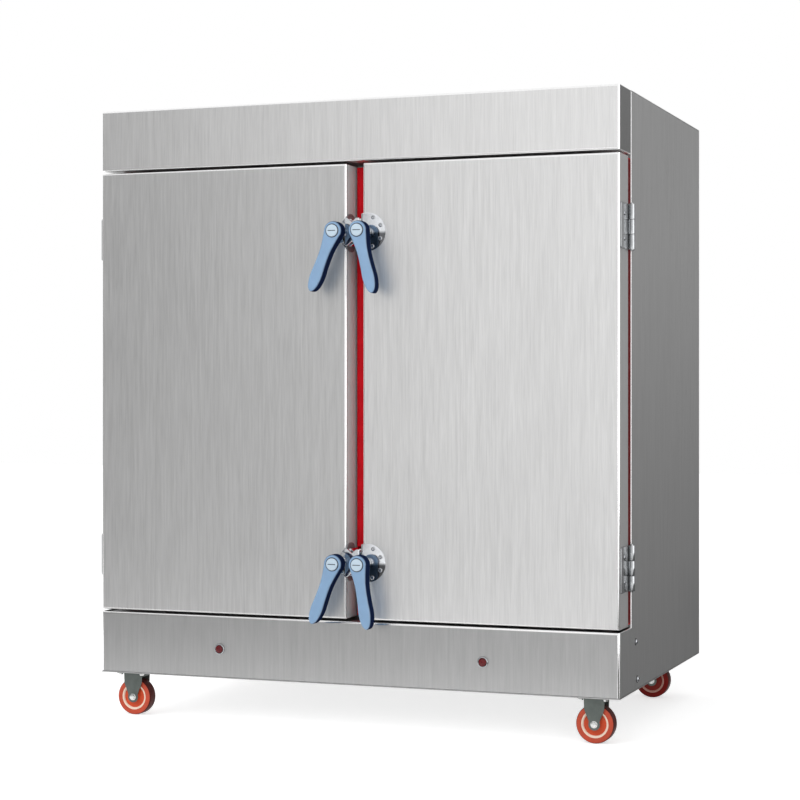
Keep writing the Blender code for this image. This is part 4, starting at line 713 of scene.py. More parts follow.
class Shape:
    """Points and faces of one piece, gathered surface by surface, in the piece's own axes."""

    def __init__(self) -> None:
        """Starts with no points and no faces."""
        self.points: list[Array] = []
        self.faces: list[list[int]] = []
        self.count = 0

    def grid(
        self, points: Array, place: Array, wrap: bool = False, cap_start: bool = False, cap_end: bool = False
    ) -> "Shape":
        """Adds a surface whose rows are closed rings.

        Args:
            points: An array of rows by columns by 3; each row is a ring.
            place: The matrix that moves it.
            wrap: Whether the last row joins the first, as on a ring's section.
            cap_start: Whether a flat face closes the first row.
            cap_end: Whether a flat face closes the last row.

        Returns:
            The shape itself.
        """
        rows, columns = points.shape[:2]
        first = self.count
        self.points.append(points.reshape(-1, 3) @ place[:3, :3].T + place[:3, 3])
        self.count += rows * columns
        row = np.arange(rows if wrap else rows - 1)[:, None]
        column = np.arange(columns)[None, :]
        after_row, after_column = (row + 1) % rows, (column + 1) % columns
        corners = ((row, column), (row, after_column), (after_row, after_column), (after_row, column))
        indices = np.broadcast_arrays(*(along * columns + across for along, across in corners))
        self.faces.extend((np.stack(indices, axis=-1).reshape(-1, 4) + first).tolist())
        if cap_start:
            self.faces.append((first + np.arange(columns)[::-1]).tolist())
        if cap_end:
            self.faces.append((first + (rows - 1) * columns + np.arange(columns)).tolist())
        return self

    def stack(self, outline: Callable[[float], Array], rows: Rows, place: Array) -> "Shape":
        """Adds a closed solid of outlines one above another, flat at both ends.

        Args:
            outline: Gives the outline for an inset.
            rows: The inset and the height of each row.
            place: The matrix that moves it.

        Returns:
            The shape itself.
        """
        rings = [raised(outline(inset), height) for inset, height in rows]
        return self.grid(np.stack(rings), place, cap_start=True, cap_end=True)

    def plate(self, outline: Array, low: float, high: float, edge: float, place: Array) -> "Shape":
        """Adds a flat plate of the outline with quarter-round edges.

        Args:
            outline: The plate's outline, n by 2.
            low: Height of its back face.
            high: Height of its front face.
            edge: Radius of its edges.
            place: The matrix that moves it.

        Returns:
            The shape itself.
        """
        return self.stack(lambda inset: drawn_in(outline, inset), edge_rows(low, high, edge), place)

    def pan(
        self,
        outline: Callable[[float], Array],
        back: float,
        place: Array,
        front: float = FACE,
        bend: float = BEND,
    ) -> "Shape":
        """Adds an open tray of sheet; its front edges are quarter circles: r (1 - cos a), r (1 - sin a).

        Its rows run from the middle of its inner face, round the rim at the back, to the middle of its front.

        Args:
            outline: Gives its outline for an inset.
            back: Height of its rim.
            place: Where it stands.
            front: Height of its front face.
            bend: Outer radius of its bends.

        Returns:
            The shape itself.
        """
        angles = np.radians(np.linspace(0.0, 90.0, BEND_STEPS + 1))
        quarter = [(1 - math.cos(a), 1 - math.sin(a)) for a in angles]
        hollow = bend - SHEET
        outer = [(bend * across, front - bend * along) for across, along in quarter]
        inner = [(SHEET + hollow * across, front - SHEET - hollow * along) for across, along in quarter]
        rows = [(SHEET + hollow + SUPPORT, front - SHEET)] + inner[::-1]
        rows += [(SHEET, front - bend - SUPPORT), (SHEET, back + SUPPORT), (SHEET, back)]
        rows += [(0.0, back), (0.0, back + SUPPORT), (0.0, front - bend - SUPPORT)]
        return self.stack(outline, rows + outer + [(bend + SUPPORT, front)], place)

    def turned(self, profile: Rows, steps: int, place: Array, ring: bool = False) -> "Shape":
        """Adds a profile turned about the shape's own Z: (r cos a, r sin a, h) for each radius and height.

        Args:
            profile: The radius and height of each point, in order along the outer side.
            steps: How many sides the turned shape gets.
            place: The matrix that moves it.
            ring: Whether the profile closes on itself, as on a tyre.

        Returns:
            The shape itself.
        """
        radius, height = np.array(profile, float).T[:, :, None]
        angles = np.linspace(0.0, 2.0 * np.pi, steps, endpoint=False)
        level = np.broadcast_to(height, (len(radius), steps))
        points = np.stack((radius * np.cos(angles), radius * np.sin(angles), level), axis=-1)
        return self.grid(points, place, wrap=ring, cap_start=not ring, cap_end=not ring)

    def build(
        self,
        name: str,
        finish: Finish,
        body: str,
        slot: str,
        replaces: Sequence[str] = (),
        skin: Skin | None = None,
        cut_by: "Shape | None" = None,
    ) -> Object:
        """Makes the object, faces outwards, and lets it ride on a body of the frame.

        Args:
            name: The piece's name.
            finish: Its finish.
            body: The body that it moves with.
            slot: The record's material slot for its finish; not used.
            replaces: Nodes of the frame that it stands for.
            skin: Other finishes for some of its faces.
            cut_by: A closed shape whose inside is cut out of it.

        Returns:
            The piece.
        """
        obj = linked(name, self._mesh(name))
        if cut_by is not None:
            cutter = linked(name + "_cutter", cut_by._mesh(name + "_cutter"))
            modifier = obj.modifiers.new("cut", "BOOLEAN")
            modifier.operation = "DIFFERENCE"
            modifier.solver = "EXACT"
            modifier.object = cutter
            graph = bpy.context.evaluated_depsgraph_get()
            obj.data = bpy.data.meshes.new_from_object(obj.evaluated_get(graph))
            obj.modifiers.clear()
            bpy.data.objects.remove(cutter)
            obj.data.materials.clear()
        if skin is None:
            obj.data.materials.append(finish.made())
        else:
            skin.dress(obj.data, finish)
        obj.data.shade_smooth()
        obj.data.set_sharp_from_angle(angle=math.radians(SMOOTH_ANGLE))
        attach(obj, body)
        if replaces:
            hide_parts(*replaces)
        log.info("%s: %d faces on %s", name, len(obj.data.polygons), body)
        return obj

    def _mesh(self, name: str) -> bpy.types.Mesh:
        """Makes the mesh: doubles are merged first, then its normals are made to point outwards.

        Args:
            name: The mesh's name.

        Returns:
            The mesh.
        """
        mesh = bpy.data.meshes.new(name)
        mesh.from_pydata(np.vstack(self.points).tolist(), [], self.faces)
        work = bmesh.new()
        work.from_mesh(mesh)
        bmesh.ops.remove_doubles(work, verts=work.verts, dist=MERGE_DISTANCE)
        bmesh.ops.dissolve_degenerate(work, edges=work.edges, dist=MERGE_DISTANCE)
        bmesh.ops.recalc_face_normals(work, faces=work.faces)
        work.to_mesh(mesh)
        work.free()
        return mesh


@dataclass(frozen=True)
class Screw:
    """A domed screw head with a cross recess."""

    radius: float
    rise: float = 0.0017
    arm: float = 0.52
    width: float = 0.15
    sunk: float = 0.0011

    def add(self, shape: Shape, place: Array) -> None:
        """Adds the head: circles that shrink over a low dome, then the cross, which drops straight in.

        Args:
            shape: The shape that it joins.
            place: Where its underside lies and the way it looks.
        """
        arm, half = self.arm * self.radius, self.width * self.radius
        quarter = np.array([(arm, -half), (arm, half), (half, half)])
        turns = [np.array(((c, s), (-s, c))) for c, s in ((1, 0), (0, 1), (-1, 0), (0, -1))]
        corners = np.vstack([quarter @ turn for turn in turns])
        cross = np.stack((corners, (corners + np.roll(corners, -1, axis=0)) / 2), axis=1).reshape(-1, 2)
        angles = np.unwrap(np.arctan2(cross[:, 1], cross[:, 0]))
        ring = np.column_stack((np.cos(angles), np.sin(angles))) * self.radius
        dome = ((1.0, 0.0), (1.0, 0.35), (0.93, 0.66), (0.80, 0.88), (0.66, 0.98))
        rings = [raised(ring * size, height * self.rise) for size, height in dome]
        rings += [raised(cross, self.rise), raised(cross, self.rise - self.sunk)]
        shape.grid(np.stack(rings), place, cap_start=True, cap_end=True)


@dataclass(frozen=True)
class HexBolt:
    """A hexagon head over its washer, chamfered and a little domed."""

    radius: float
    height: float
    washer: float
    thin: float = 0.0010

    def add(self, shape: Shape, place: Array) -> None:
        """Adds the washer and the head, whose hexagon turns into a circle over its chamfer.

        Args:
            shape: The shape that it joins.
            place: Where the washer's underside lies and the way it looks.
        """
        thin = self.thin
        shape.turned([(self.washer, 0.0), (self.washer, thin * 0.7), (self.washer - 0.0004, thin)], 32, place)
        hexagon = np.repeat(circle(self.radius, 6), 4, axis=0)
        steps = np.tile(np.arange(4) / 4, 6)[:, None]
        hexagon = hexagon + (np.roll(hexagon, -4, axis=0) - hexagon) * steps
        round_top = circle(self.radius * 0.84, len(hexagon))
        rings = [(hexagon, thin), (hexagon, self.height * 0.78), (hexagon * 0.97, self.height * 0.88)]
        rings += [(round_top, self.height * 0.96), (round_top * 0.5, self.height)]
        shape.grid(np.stack([raised(*ring) for ring in rings]), place, cap_start=True, cap_end=True)


class Side(Enum):
    """The cabinet's two sides, with their name and their sign along X."""

    LEFT = ("left", -1.0)
    RIGHT = ("right", 1.0)

    def __init__(self, word: str, sign: float) -> None:
        """Keeps the name and the sign."""
        self.word, self.sign = word, sign

    @property
    def outwards(self) -> Facing:
        """The way out on that side."""
        return Facing.RIGHT if self is Side.RIGHT else Facing.LEFT

    @property
    def inwards(self) -> Facing:
        """The way from that side to the other one."""
        return Facing.LEFT if self is Side.RIGHT else Facing.RIGHT


class Level(Enum):
    """The two levels at which a door has a hinge and a latch, with their name and height."""

    LOWER = ("lower", 0.334)
    UPPER = ("upper", 0.986)

    def __init__(self, word: str, height: float) -> None:
        """Keeps the name and the height above the floor."""
        self.word, self.height = word, height


# X of each door's edge in the gap, each plate's middle from there, and each lever's angle at rest
INNER_EDGES = {Side.LEFT: -0.0035, Side.RIGHT: 0.0315}
PLATE_OFFSETS = {Side.LEFT: -0.022, Side.RIGHT: 0.010}
SPLAYS = {
    (Side.LEFT, Level.UPPER): 22.0,
    (Side.RIGHT, Level.UPPER): 14.0,
    (Side.LEFT, Level.LOWER): 21.0,
    (Side.RIGHT, Level.LOWER): 9.0,
}


@dataclass
class Panels:
    """The outer sheets: header, base front and side panels, and the screws of the feet and the back."""

    header: Pair = (1.127, 1.251)
    header_gap: float = 0.0045
    base: Pair = (0.0933, 0.217)
    base_bend: float = 0.0030
    base_play: float = 0.0001
    base_drop: float = 0.75
    lamp_hole: float = 0.0097
    hole_span: Pair = (0.36, 0.375)
    side_top: float = 1.2495
    side_back: float = 0.35
    side_bend: float = 0.0012
    flange: float = 0.020
    lowest: float = -0.05
    foot_screws: Rows = ((-0.2405, 0.186), (-0.2285, 0.112))
    back_screws: int = 6
    back_inset: float = 0.014
    back_plane: float = 0.3515
    back_span: Pair = (0.108, 1.237)

    def build(self) -> None:
        """Builds the bent sheets and the screws."""
        low, high = self.header
        place = Facing.FRONT.at(0.0, 0.0, (low + high) / 2)
        header = Shape().pan(tray_outline(HALF_WIDTH, (high - low) / 2), FRAME_PLANE + self.header_gap, place)
        # The header's ends get painted shade and its bends a painted highlight
        skin = Skin(sides=Finish.HEADER_SIDE_SHADED, bends=Finish.BEND)
        header.build("header_sheet", Finish.HEADER, "cabinet", "brushed_steel", ["header_shell"], skin)
        self._base_front()
        for side in Side:
            self._side_sheet(side)
        self._foot_screws()
        self._back_screws()

    def _base_front(self) -> None:
        """The base sheet: a tray between the side sheets, with two lamp holes cut through."""
        low, high = self.base
        whole = tray_outline(HALF_WIDTH - SHEET - self.base_play, (high - low) / 2)

        def outline(inset: float) -> Array:
            """The tray's outline, shifted down as it is drawn in: a wide bend above, a sharp one below."""
            return whole(inset) - (0.0, self.base_drop * inset)

        place = Facing.FRONT.at(0.0, 0.0, (low + high) / 2)
        shape = Shape().pan(outline, FRAME_PLANE, place, bend=self.base_bend)
        holes = Shape()
        across, height = LAMP_SPOT
        rows = [(self.lamp_hole, end) for end in self.hole_span]
        for side in Side:
            holes.turned(rows, 32, Facing.FRONT.at(side.sign * across, 0.0, height))
        # The base sheet is a darker copy of the steel, painted shade; its bends, except those facing down,
        # get a painted highlight
        skin = Skin(bends=Finish.BEND, lowest=self.lowest)
        shape.build("base_sheet", Finish.BASE, "cabinet", "brushed_steel", ["base_front_panel"], skin, holes)

    def _side_sheet(self, side: Side) -> None:
        """A side panel: an L-shaped tray whose foot runs forward beside the base.

        Args:
            side: Which side it closes.
        """
        (low, step), top = self.base, self.side_top
        foot, front = -FACE + self.base_bend, -FRAME_PLANE + SUPPORT
        corners = [(foot, low), (self.side_back, low), (self.side_back, top)]
        corners += [(front, top), (front, step), (foot, step)]
        outline = np.array(corners) * (side.sign, 1.0)
        rim, place = HALF_WIDTH - self.flange, side.outwards.at(0.0, 0.0, 0.0)
        shape = Shape().pan(lambda inset: drawn_in(outline, inset), rim, place, HALF_WIDTH, self.side_bend)
        # The side sheet is a darker copy of the steel, painted shade; its bends, except those facing down,
        # get a painted highlight
        name, skin = "side_sheet_" + side.word, Skin(bends=Finish.BEND, lowest=self.lowest)
        shape.build(name, Finish.SIDE_PANEL_SHADED, "cabinet", "brushed_steel", ["side_panel_" + side.word], skin)

    def _foot_screws(self) -> None:
        """Screws in the feet of the side panels, each on a black cup washer that is painted shadow round it.
        """
        screw = Screw(0.0054, 0.0036)
        cup = [(0.0072, 0.0), (0.0072, 0.0006), (0.0066, 0.0010), (0.0030, 0.0010)]
        screws, shadow_washers = Shape(), Shape()
        for side in Side:
            for y, z in self.foot_screws:
                place = side.outwards.at(side.sign * HALF_WIDTH, y, z, 30.0)
                screw.add(screws, place)
                shadow_washers.turned(cup, 32, place)
        screws.build("foot_screws", Finish.SCREW, "cabinet", "chrome")
        shadow_washers.build("foot_shadow_washers", Finish.NYLON, "cabinet", "black_nylon")

    def _back_screws(self) -> None:
        """Screws all round the back panel, each turned on by another angle."""
        low, high = self.back_span
        reach = HALF_WIDTH - self.back_inset
        spots = [(x, z) for x in np.linspace(-reach, reach, self.back_screws) for z in (low, high)]
        upwards = np.linspace(low, high, self.back_screws)
        spots += [(x, z) for x in (-reach, reach) for z in upwards[1:-1]]
        screws, screw = Shape(), Screw(0.0040)
        for index, (x, z) in enumerate(spots):
            screw.add(screws, Facing.BACK.at(x, self.back_plane, z, 17.0 * index))
        screws.build("back_screws", Finish.SCREW, "cabinet", "chrome")


@dataclass
class Door:
    """One door's outer pan; its core and inner sheet keep their shape."""

    side: Side
    low: float = 0.2215
    high: float = 1.1225
    back: float = 0.3040
    lowest: float = -0.05

    def build(self) -> None:
        """Builds the pan."""
        word = self.side.word
        start, end = sorted((INNER_EDGES[self.side], self.side.sign * HALF_WIDTH))
        place = Facing.FRONT.at((start + end) / 2, 0.0, (self.low + self.high) / 2)
        shape = Shape().pan(tray_outline((end - start) / 2, (self.high - self.low) / 2), self.back, place)
        # Door sides are darker copies of the steel, painted shade; the left door's side in the gap is a
        # lighter copy, painted light; the left door's front is painted darker; bends get a painted highlight
        finish, edge = Finish.DOOR_RIGHT, Finish.DOOR_SIDE_SHADED
        if self.side is Side.LEFT:
            finish, edge = Finish.DOOR_LEFT, Finish.GAP_SIDE_LIT
        name, nodes = "door_sheet_" + word, ["door_shell_" + word]
        skin = Skin(edge, Finish.DOOR_SIDE_SHADED, Finish.BEND, self.lowest)
        shape.build(name, finish, "door_" + word, "brushed_steel", nodes, skin)


@dataclass
class DoorSeal:
    """The silicone seal: a lipped frame, a middle bar and the rib that fills the gap between the doors."""

    half: Pair = (0.548, 0.4485)
    corner: float = 0.003
    centre: float = 0.672
    width: float = 0.043
    back: float = FRAME_PLANE
    front: float = 0.3022
    lip: float = 0.0035
    bar: float = 0.0425
    bar_front: float = 0.3014
    rib: float = 0.0145
    rib_front: float = 0.3225
    keeper_half: float = 0.0273
    play: float = 0.0003
    overlap: float = 0.001

    def build(self) -> None:
        """Builds the frame ring by ring across its section, then the bar and rib between the keepers."""
        shape = Shape()
        wide, tall = self.half
        rings = []
        for inset, high in self._section():
            rings.append(raised(rounded_rectangle(wide - inset, tall - inset, self.corner, 3), high))
        shape.grid(np.stack(rings), Facing.FRONT.at(0.0, 0.0, self.centre), wrap=True)
        edges = [self.centre - tall + self.overlap]
        for level in Level:
            edges += [level.height - self.keeper_half, level.height + self.keeper_half]
        edges.append(self.centre + tall - self.overlap)
        for low, high in zip(edges[::2], edges[1::2]):
            self._length(shape, low, high)
        near, far = self.rib + self.play, self.bar
        beside = rounded_rectangle((far - near) / 2, self.keeper_half + self.overlap, 0.001, 2)
        for level in Level:
            for side in Side:
                place = Facing.FRONT.at(GAP_MIDDLE + side.sign * (near + far) / 2, 0.0, level.height)
                shape.plate(beside, self.back, self.bar_front, 0.001, place)
        # Faces across X take a dark copy of the silicone: painted shade
        skin = Skin(sides=Finish.SILICONE_SHADED_SIDE)
        shape.build("door_seal_rubber", Finish.SILICONE, "cabinet", "red_silicone", ["door_seal"], skin)

    def _section(self) -> Rows:
        """The frame's section: a flat foot, a bulged outer edge and two lips in front.

        Returns:
            The inset and height of its points.
        """
        w, low, high, lip = self.width, self.back, self.front, self.lip
        outer = [(0.0015, low), (0.0, low + 0.002), (0.0, high - 0.006), (0.0006, high - 0.003)]
        outer += [(0.0022, high - 0.0008), (0.0045, high), (0.0075, high - 0.0006), (0.0100, high - lip)]
        inner = [(w - 0.0130, high - lip), (w - 0.0100, high - 0.0010), (w - 0.0065, high)]
        inner += [(w - 0.0030, high - 0.0010), (w - 0.0008, high - 0.004), (w, high - 0.008)]
        return outer + inner + [(w, low + 0.002), (w - 0.0015, low)]

    def _length(self, shape: Shape, low: float, high: float) -> None:
        """One stretch of the bar with its rib, between two keepers.

        Args:
            shape: The shape that it joins.
            low: Its lower end.
            high: Its upper end.
        """
        half, rib, front = (high - low) / 2, self.rib, self.front
        place = Facing.FRONT.at(GAP_MIDDLE, 0.0, (low + high) / 2)
        shape.plate(rounded_rectangle(self.bar, half, 0.0015, 2), self.back, self.bar_front, 0.003, place)
        rows = [(0.0, front - 0.004), (0.0, front + 0.002), (0.0012, front + 0.006), (0.0012, front + 0.0095)]
        rows += [(0.0, front + 0.013), (0.0003, front + 0.0165), (0.0016, front + 0.0190)]
        rows += [(0.0042, self.rib_front - 0.0002), (0.0070, self.rib_front)]
        shape.stack(lambda inset: rounded_rectangle(rib - inset, half - inset * 0.3, 0.0008, 2), rows, place)


@dataclass
class Keeper:
    """The chromed post between the doors: head and block with V notches, joined by a neck."""

    level: Level
    half: float = 0.0145
    height: float = 0.054
    notch: Pair = (0.009, 0.008)
    head: Pair = (0.3795, 0.3843)
    block: Pair = (FRAME_PLANE, 0.3655)
    neck: float = 0.0045
    edge: float = 0.0007
    overlap: float = 0.001

    def build(self) -> None:
        """Builds the post as outlines in X and Z carried along Y."""
        end, (wide, deep) = self.height / 2, self.notch
        upper = [(self.half, end), (wide, end), (0.0, end - deep), (-wide, end), (-self.half, end)]
        outline = np.array(upper + [(-x, -z) for x, z in upper])
        place = Facing.FRONT.at(GAP_MIDDLE, 0.0, self.level.height)
        shape = Shape().plate(outline, *self.head, self.edge, place)
        shape.plate(outline, *self.block, self.edge, place)
        neck = rounded_rectangle(self.neck, end - deep, 0.0005, 2)
        shape.plate(neck, self.block[1] - self.overlap, self.head[0] + self.overlap, 0.0002, place)
        word = self.level.word
        shape.build("keeper_post_" + word, Finish.CHROME, "cabinet", "chrome", ["keeper_" + word])


@dataclass
class Fitting:
    """A fitting of one door at one level."""

    side: Side
    level: Level

    @property
    def word(self) -> str:
        """Its side and level, as in the names of its nodes."""
        return f"{self.side.word}_{self.level.word}"

    @property
    def door(self) -> str:
        """The body of its door."""
        return "door_" + self.side.word


@dataclass
class Hinge(Fitting):
    """One butt hinge: two leaves, three knuckles, a domed pin and its screws."""

    seat: float = 0.5503
    axis_x: float = 0.5570
    axis_y: float = -0.3025
    half: float = 0.0435
    leaf: float = 0.0025
    knuckle: float = 0.0065
    beside: float = 0.0011
    third: float = 0.0145
    gap: float = 0.0004
    reach: Pair = (-0.062, 0.042)
    screws: Rows = ((-0.036, 0.024), (0.024, 0.022))
    pin: float = 0.0032
    pin_head: float = 0.0026
    pin_seat: float = 0.0003
    corner: float = 0.004
    lap: float = 0.0015

    def build(self) -> None:
        """Builds the door's half and the body's half of the hinge, each with its two screws."""
        screw = Screw(0.0046, 0.0014)
        halves = (("door", self.door), ("body", "cabinet"))
        for (holder, body), reach, (away, rise) in zip(halves, self.reach, self.screws):
            word = f"{holder}_{self.word}"
            shape, screws = Shape(), Shape()
            self._leaf(shape, reach, holder)
            self._knuckles(shape, holder)
            node = f"hinge_{holder}_leaf_{self.word}"
            shape.build("hinge_" + word, Finish.HINGE, body, "chrome", [node])
            for up in (-rise, rise):
                screw.add(screws, self._place(self.axis_y + away, self.level.height + up, self.leaf))
            screws.build("hinge_screws_" + word, Finish.SCREW, body, "chrome")

    def _place(self, y: float, z: float, out: float = 0.0) -> Array:
        """The place of a piece that lies on the cabinet's side, some way out from the leaf's seat."""
        return self.side.outwards.at(self.side.sign * (self.seat + out), y, z)

    def _leaf(self, shape: Shape, reach: float, holder: str) -> None:
        """The flat of a leaf, as far as the knuckles, and the tongues that run on to its own knuckles.

        Args:
            shape: The shape that it joins.
            reach: How far it goes from the axis along Y.
            holder: Whose leaf it is.
        """
        near = math.copysign(self.knuckle + self.beside, reach)
        outline = rounded_rectangle(abs(reach - near) / 2, self.half, self.corner, 5)
        place = self._place(self.axis_y + (near + reach) / 2, self.level.height)
        shape.plate(outline, 0.0, self.leaf, 0.0006, place)
        for low, high in self._spans(holder):
            inner = max(low, -self.half), min(high, self.half)
            tongue = rounded_rectangle(abs(near) / 2 + self.lap, (inner[1] - inner[0]) / 2, 0.0002, 1)
            y = self.axis_y + near / 2 + math.copysign(self.lap, reach)
            shape.plate(tongue, 0.0, self.leaf, 0.0003, self._place(y, self.level.height + sum(inner) / 2))

    def _spans(self, holder: str) -> list[Pair]:
        """The stretches of the axis that a leaf's own knuckles hold.

        Args:
            holder: Whose leaf it is.

        Returns:
            The lower and upper end of each stretch, from the hinge's middle.
        """
        if holder == "door":
            return [(-self.third + self.gap, self.third - self.gap)]
        end = self.half + self.pin_seat
        return [(-end, -self.third), (self.third, end)]

    def _knuckles(self, shape: Shape, holder: str) -> None:
        """The rolled knuckles, and on the body's half the pin's two domed ends.

        Args:
            shape: The shape that they join.
            holder: Whose they are.
        """
        axis = (self.side.sign * self.axis_x, self.axis_y, self.level.height)
        r = self.knuckle
        for low, high in self._spans(holder):
            rows = [(r - 0.0007, low), (r - 0.0002, low + 0.0002), (r, low + 0.0007)]
            rows += [(radius, low + high - height) for radius, height in rows[::-1]]
            shape.turned(rows, 40, Facing.UP.at(*axis))
        if holder == "body":
            end = self.half + self.pin_seat
            pin, head = self.pin, self.pin_head
            rows = [(pin, end - 0.001), (pin, end + head * 0.5)]
            rows += [(pin * 0.8, end + head * 0.82), (pin * 0.4, end + head * 0.92)]
            for facing in (Facing.UP, Facing.DOWN):
                shape.turned(rows, 24, facing.at(*axis))


@dataclass
class LatchPlate(Fitting):
    """A latch's chromed plate: a domed disc cut off at the door's edge and folded round it."""

    radius: float = 0.038
    dome: float = 0.0025
    rim: float = 0.955
    rim_drop: float = 0.0004
    gap: float = 0.0003
    fold: float = 0.0020
    fold_start: float = -0.0034
    fold_depth: float = 0.040
    corner: float = 0.005
    # Painted reflection: how dark the lower half gets, from where below the middle line and over what height
    painted_darkest: float = 0.9
    painted_dark_from: float = 0.002
    painted_dark_over: float = 0.006
    screw_radius: float = 0.0305
    screw_angles: tuple[float, ...] = (66.0, 24.0, -26.0, -70.0)

    @property
    def straight(self) -> float:
        """X of the fold's outer face."""
        return INNER_EDGES[self.side] - self.side.sign * (self.gap + self.fold)

    @property
    def centre(self) -> float:
        """X of the disc's centre."""
        return INNER_EDGES[self.side] + self.side.sign * PLATE_OFFSETS[self.side]

    def build(self) -> None:
        """Builds the disc, its fold round the door's edge and its screws."""
        sign, centre = self.side.sign, (self.centre, 0.0)
        opening = math.degrees(math.acos((self.straight - self.centre) / (sign * self.radius)))
        outline = arc(self.radius, -opening, opening, 64) * (sign, sign) + centre
        outline = np.vstack((outline, np.linspace(outline[-1], outline[0], 14)[1:-1]))
        spine = np.tile(((outline[:, 0].min() + outline[:, 0].max()) / 2, 0.0), (len(outline), 1))
        shares = [0.0, 0.15, 0.3, 0.45, 0.6, 0.75, 0.88, self.rim, 0.985, 1.0]
        heights: list[float | Array] = []
        for share in shares:
            out = np.linalg.norm(spine + (outline - spine) * share - centre, axis=1) / self.radius
            drop = self.dome * np.minimum(out, 1.0) ** 2
            heights.append(PLATE_FRONT - drop - self.rim_drop * max((share - self.rim) / 0.045, 0.0) ** 2)
        shares += [1.0, 0.98]
        heights += [PLATE_SEAT, PLATE_SEAT]
        # The fold is a darker, duller copy of the chrome: painted shade
        self._fold().build("latch_fold_" + self.word, Finish.FOLD_SHADED, self.door, "chrome")
        place = Facing.FRONT.at(0.0, 0.0, self.level.height)
        shape = Shape().grid(crowned(outline, spine, shares, heights), place, cap_end=True)
        name = "latch_disc_" + self.word
        disc = shape.build(name, Finish.CHROME, self.door, "chrome", ["latch_plate_" + self.word])
        # Painted reflection: the disc's plating darkens below its middle line
        graded(disc, "shade", self._painted_darkness)
        self._screws()

    def _fold(self) -> Shape:
        """The part that lies on the door's edge: the same disc's outline, turned back round the corner.

        Returns:
            Its shape.
        """
        beyond = -self.side.sign * (self.centre - self.straight)
        tip = self.corner * (1 - np.sin(np.radians(np.linspace(0.0, 90.0, 8))[1:]))
        steps = np.linspace(self.fold_start, self.fold_depth - self.corner, 24)
        steps = np.concatenate((steps, self.fold_depth - tip))
        away = beyond - steps if beyond > 0 else np.full(len(steps), beyond)
        share = np.clip((steps - self.fold_depth) / self.corner + 1.0, 0.0, 1.0)
        half = np.sqrt(self.radius**2 - away**2) - self.corner * (1 - np.sqrt(1 - share**2))
        depth = steps - FACE
        outline = np.vstack((np.column_stack((depth, half)), np.column_stack((depth, -half))[::-1]))
        place = self.side.inwards.at(self.straight, 0.0, self.level.height)
        return Shape().plate(outline * (-self.side.sign, 1.0), -self.fold, 0.0, 0.0005, place)

    def _painted_darkness(self, points: Array) -> Array:
        """Painted reflection at each point: the plating darkens below the plate's middle line."""
        below = (self.level.height + self.painted_dark_from - points[:, 2]) / self.painted_dark_over
        return np.clip(below, 0.0, 1.0) * self.painted_darkest

    def _screws(self) -> None:
        """Screws near the rim on the right; on the left two beside the edge and two on the fold."""
        shape, height, far = Shape(), self.level.height, self.screw_radius
        if self.side is Side.RIGHT:
            seat = PLATE_FRONT - self.dome * (far / self.radius) ** 2 - 0.0003
            for index, angle in enumerate(math.radians(degrees) for degrees in self.screw_angles):
                x, z = self.centre + far * math.cos(angle), height + far * math.sin(angle)
                Screw(0.0043, 0.0014).add(shape, Facing.FRONT.at(x, -seat, z, 31.0 * index))
        else:
            seat = self.dome * 0.86 - PLATE_FRONT
            for up in (-0.0215, 0.0215):
                place = Facing.FRONT.at(self.straight - 0.0060, seat, height + up, up * 900)
                Screw(0.0036, 0.0013).add(shape, place)
            for up in (-0.011, 0.011):
                place = self.side.inwards.at(self.straight, 0.023 - FACE, height + up, up * 1500)
                Screw(0.0040, 0.0013).add(shape, place)
        shape.build("latch_screws_" + self.word, Finish.SCREW, self.door, "chrome")


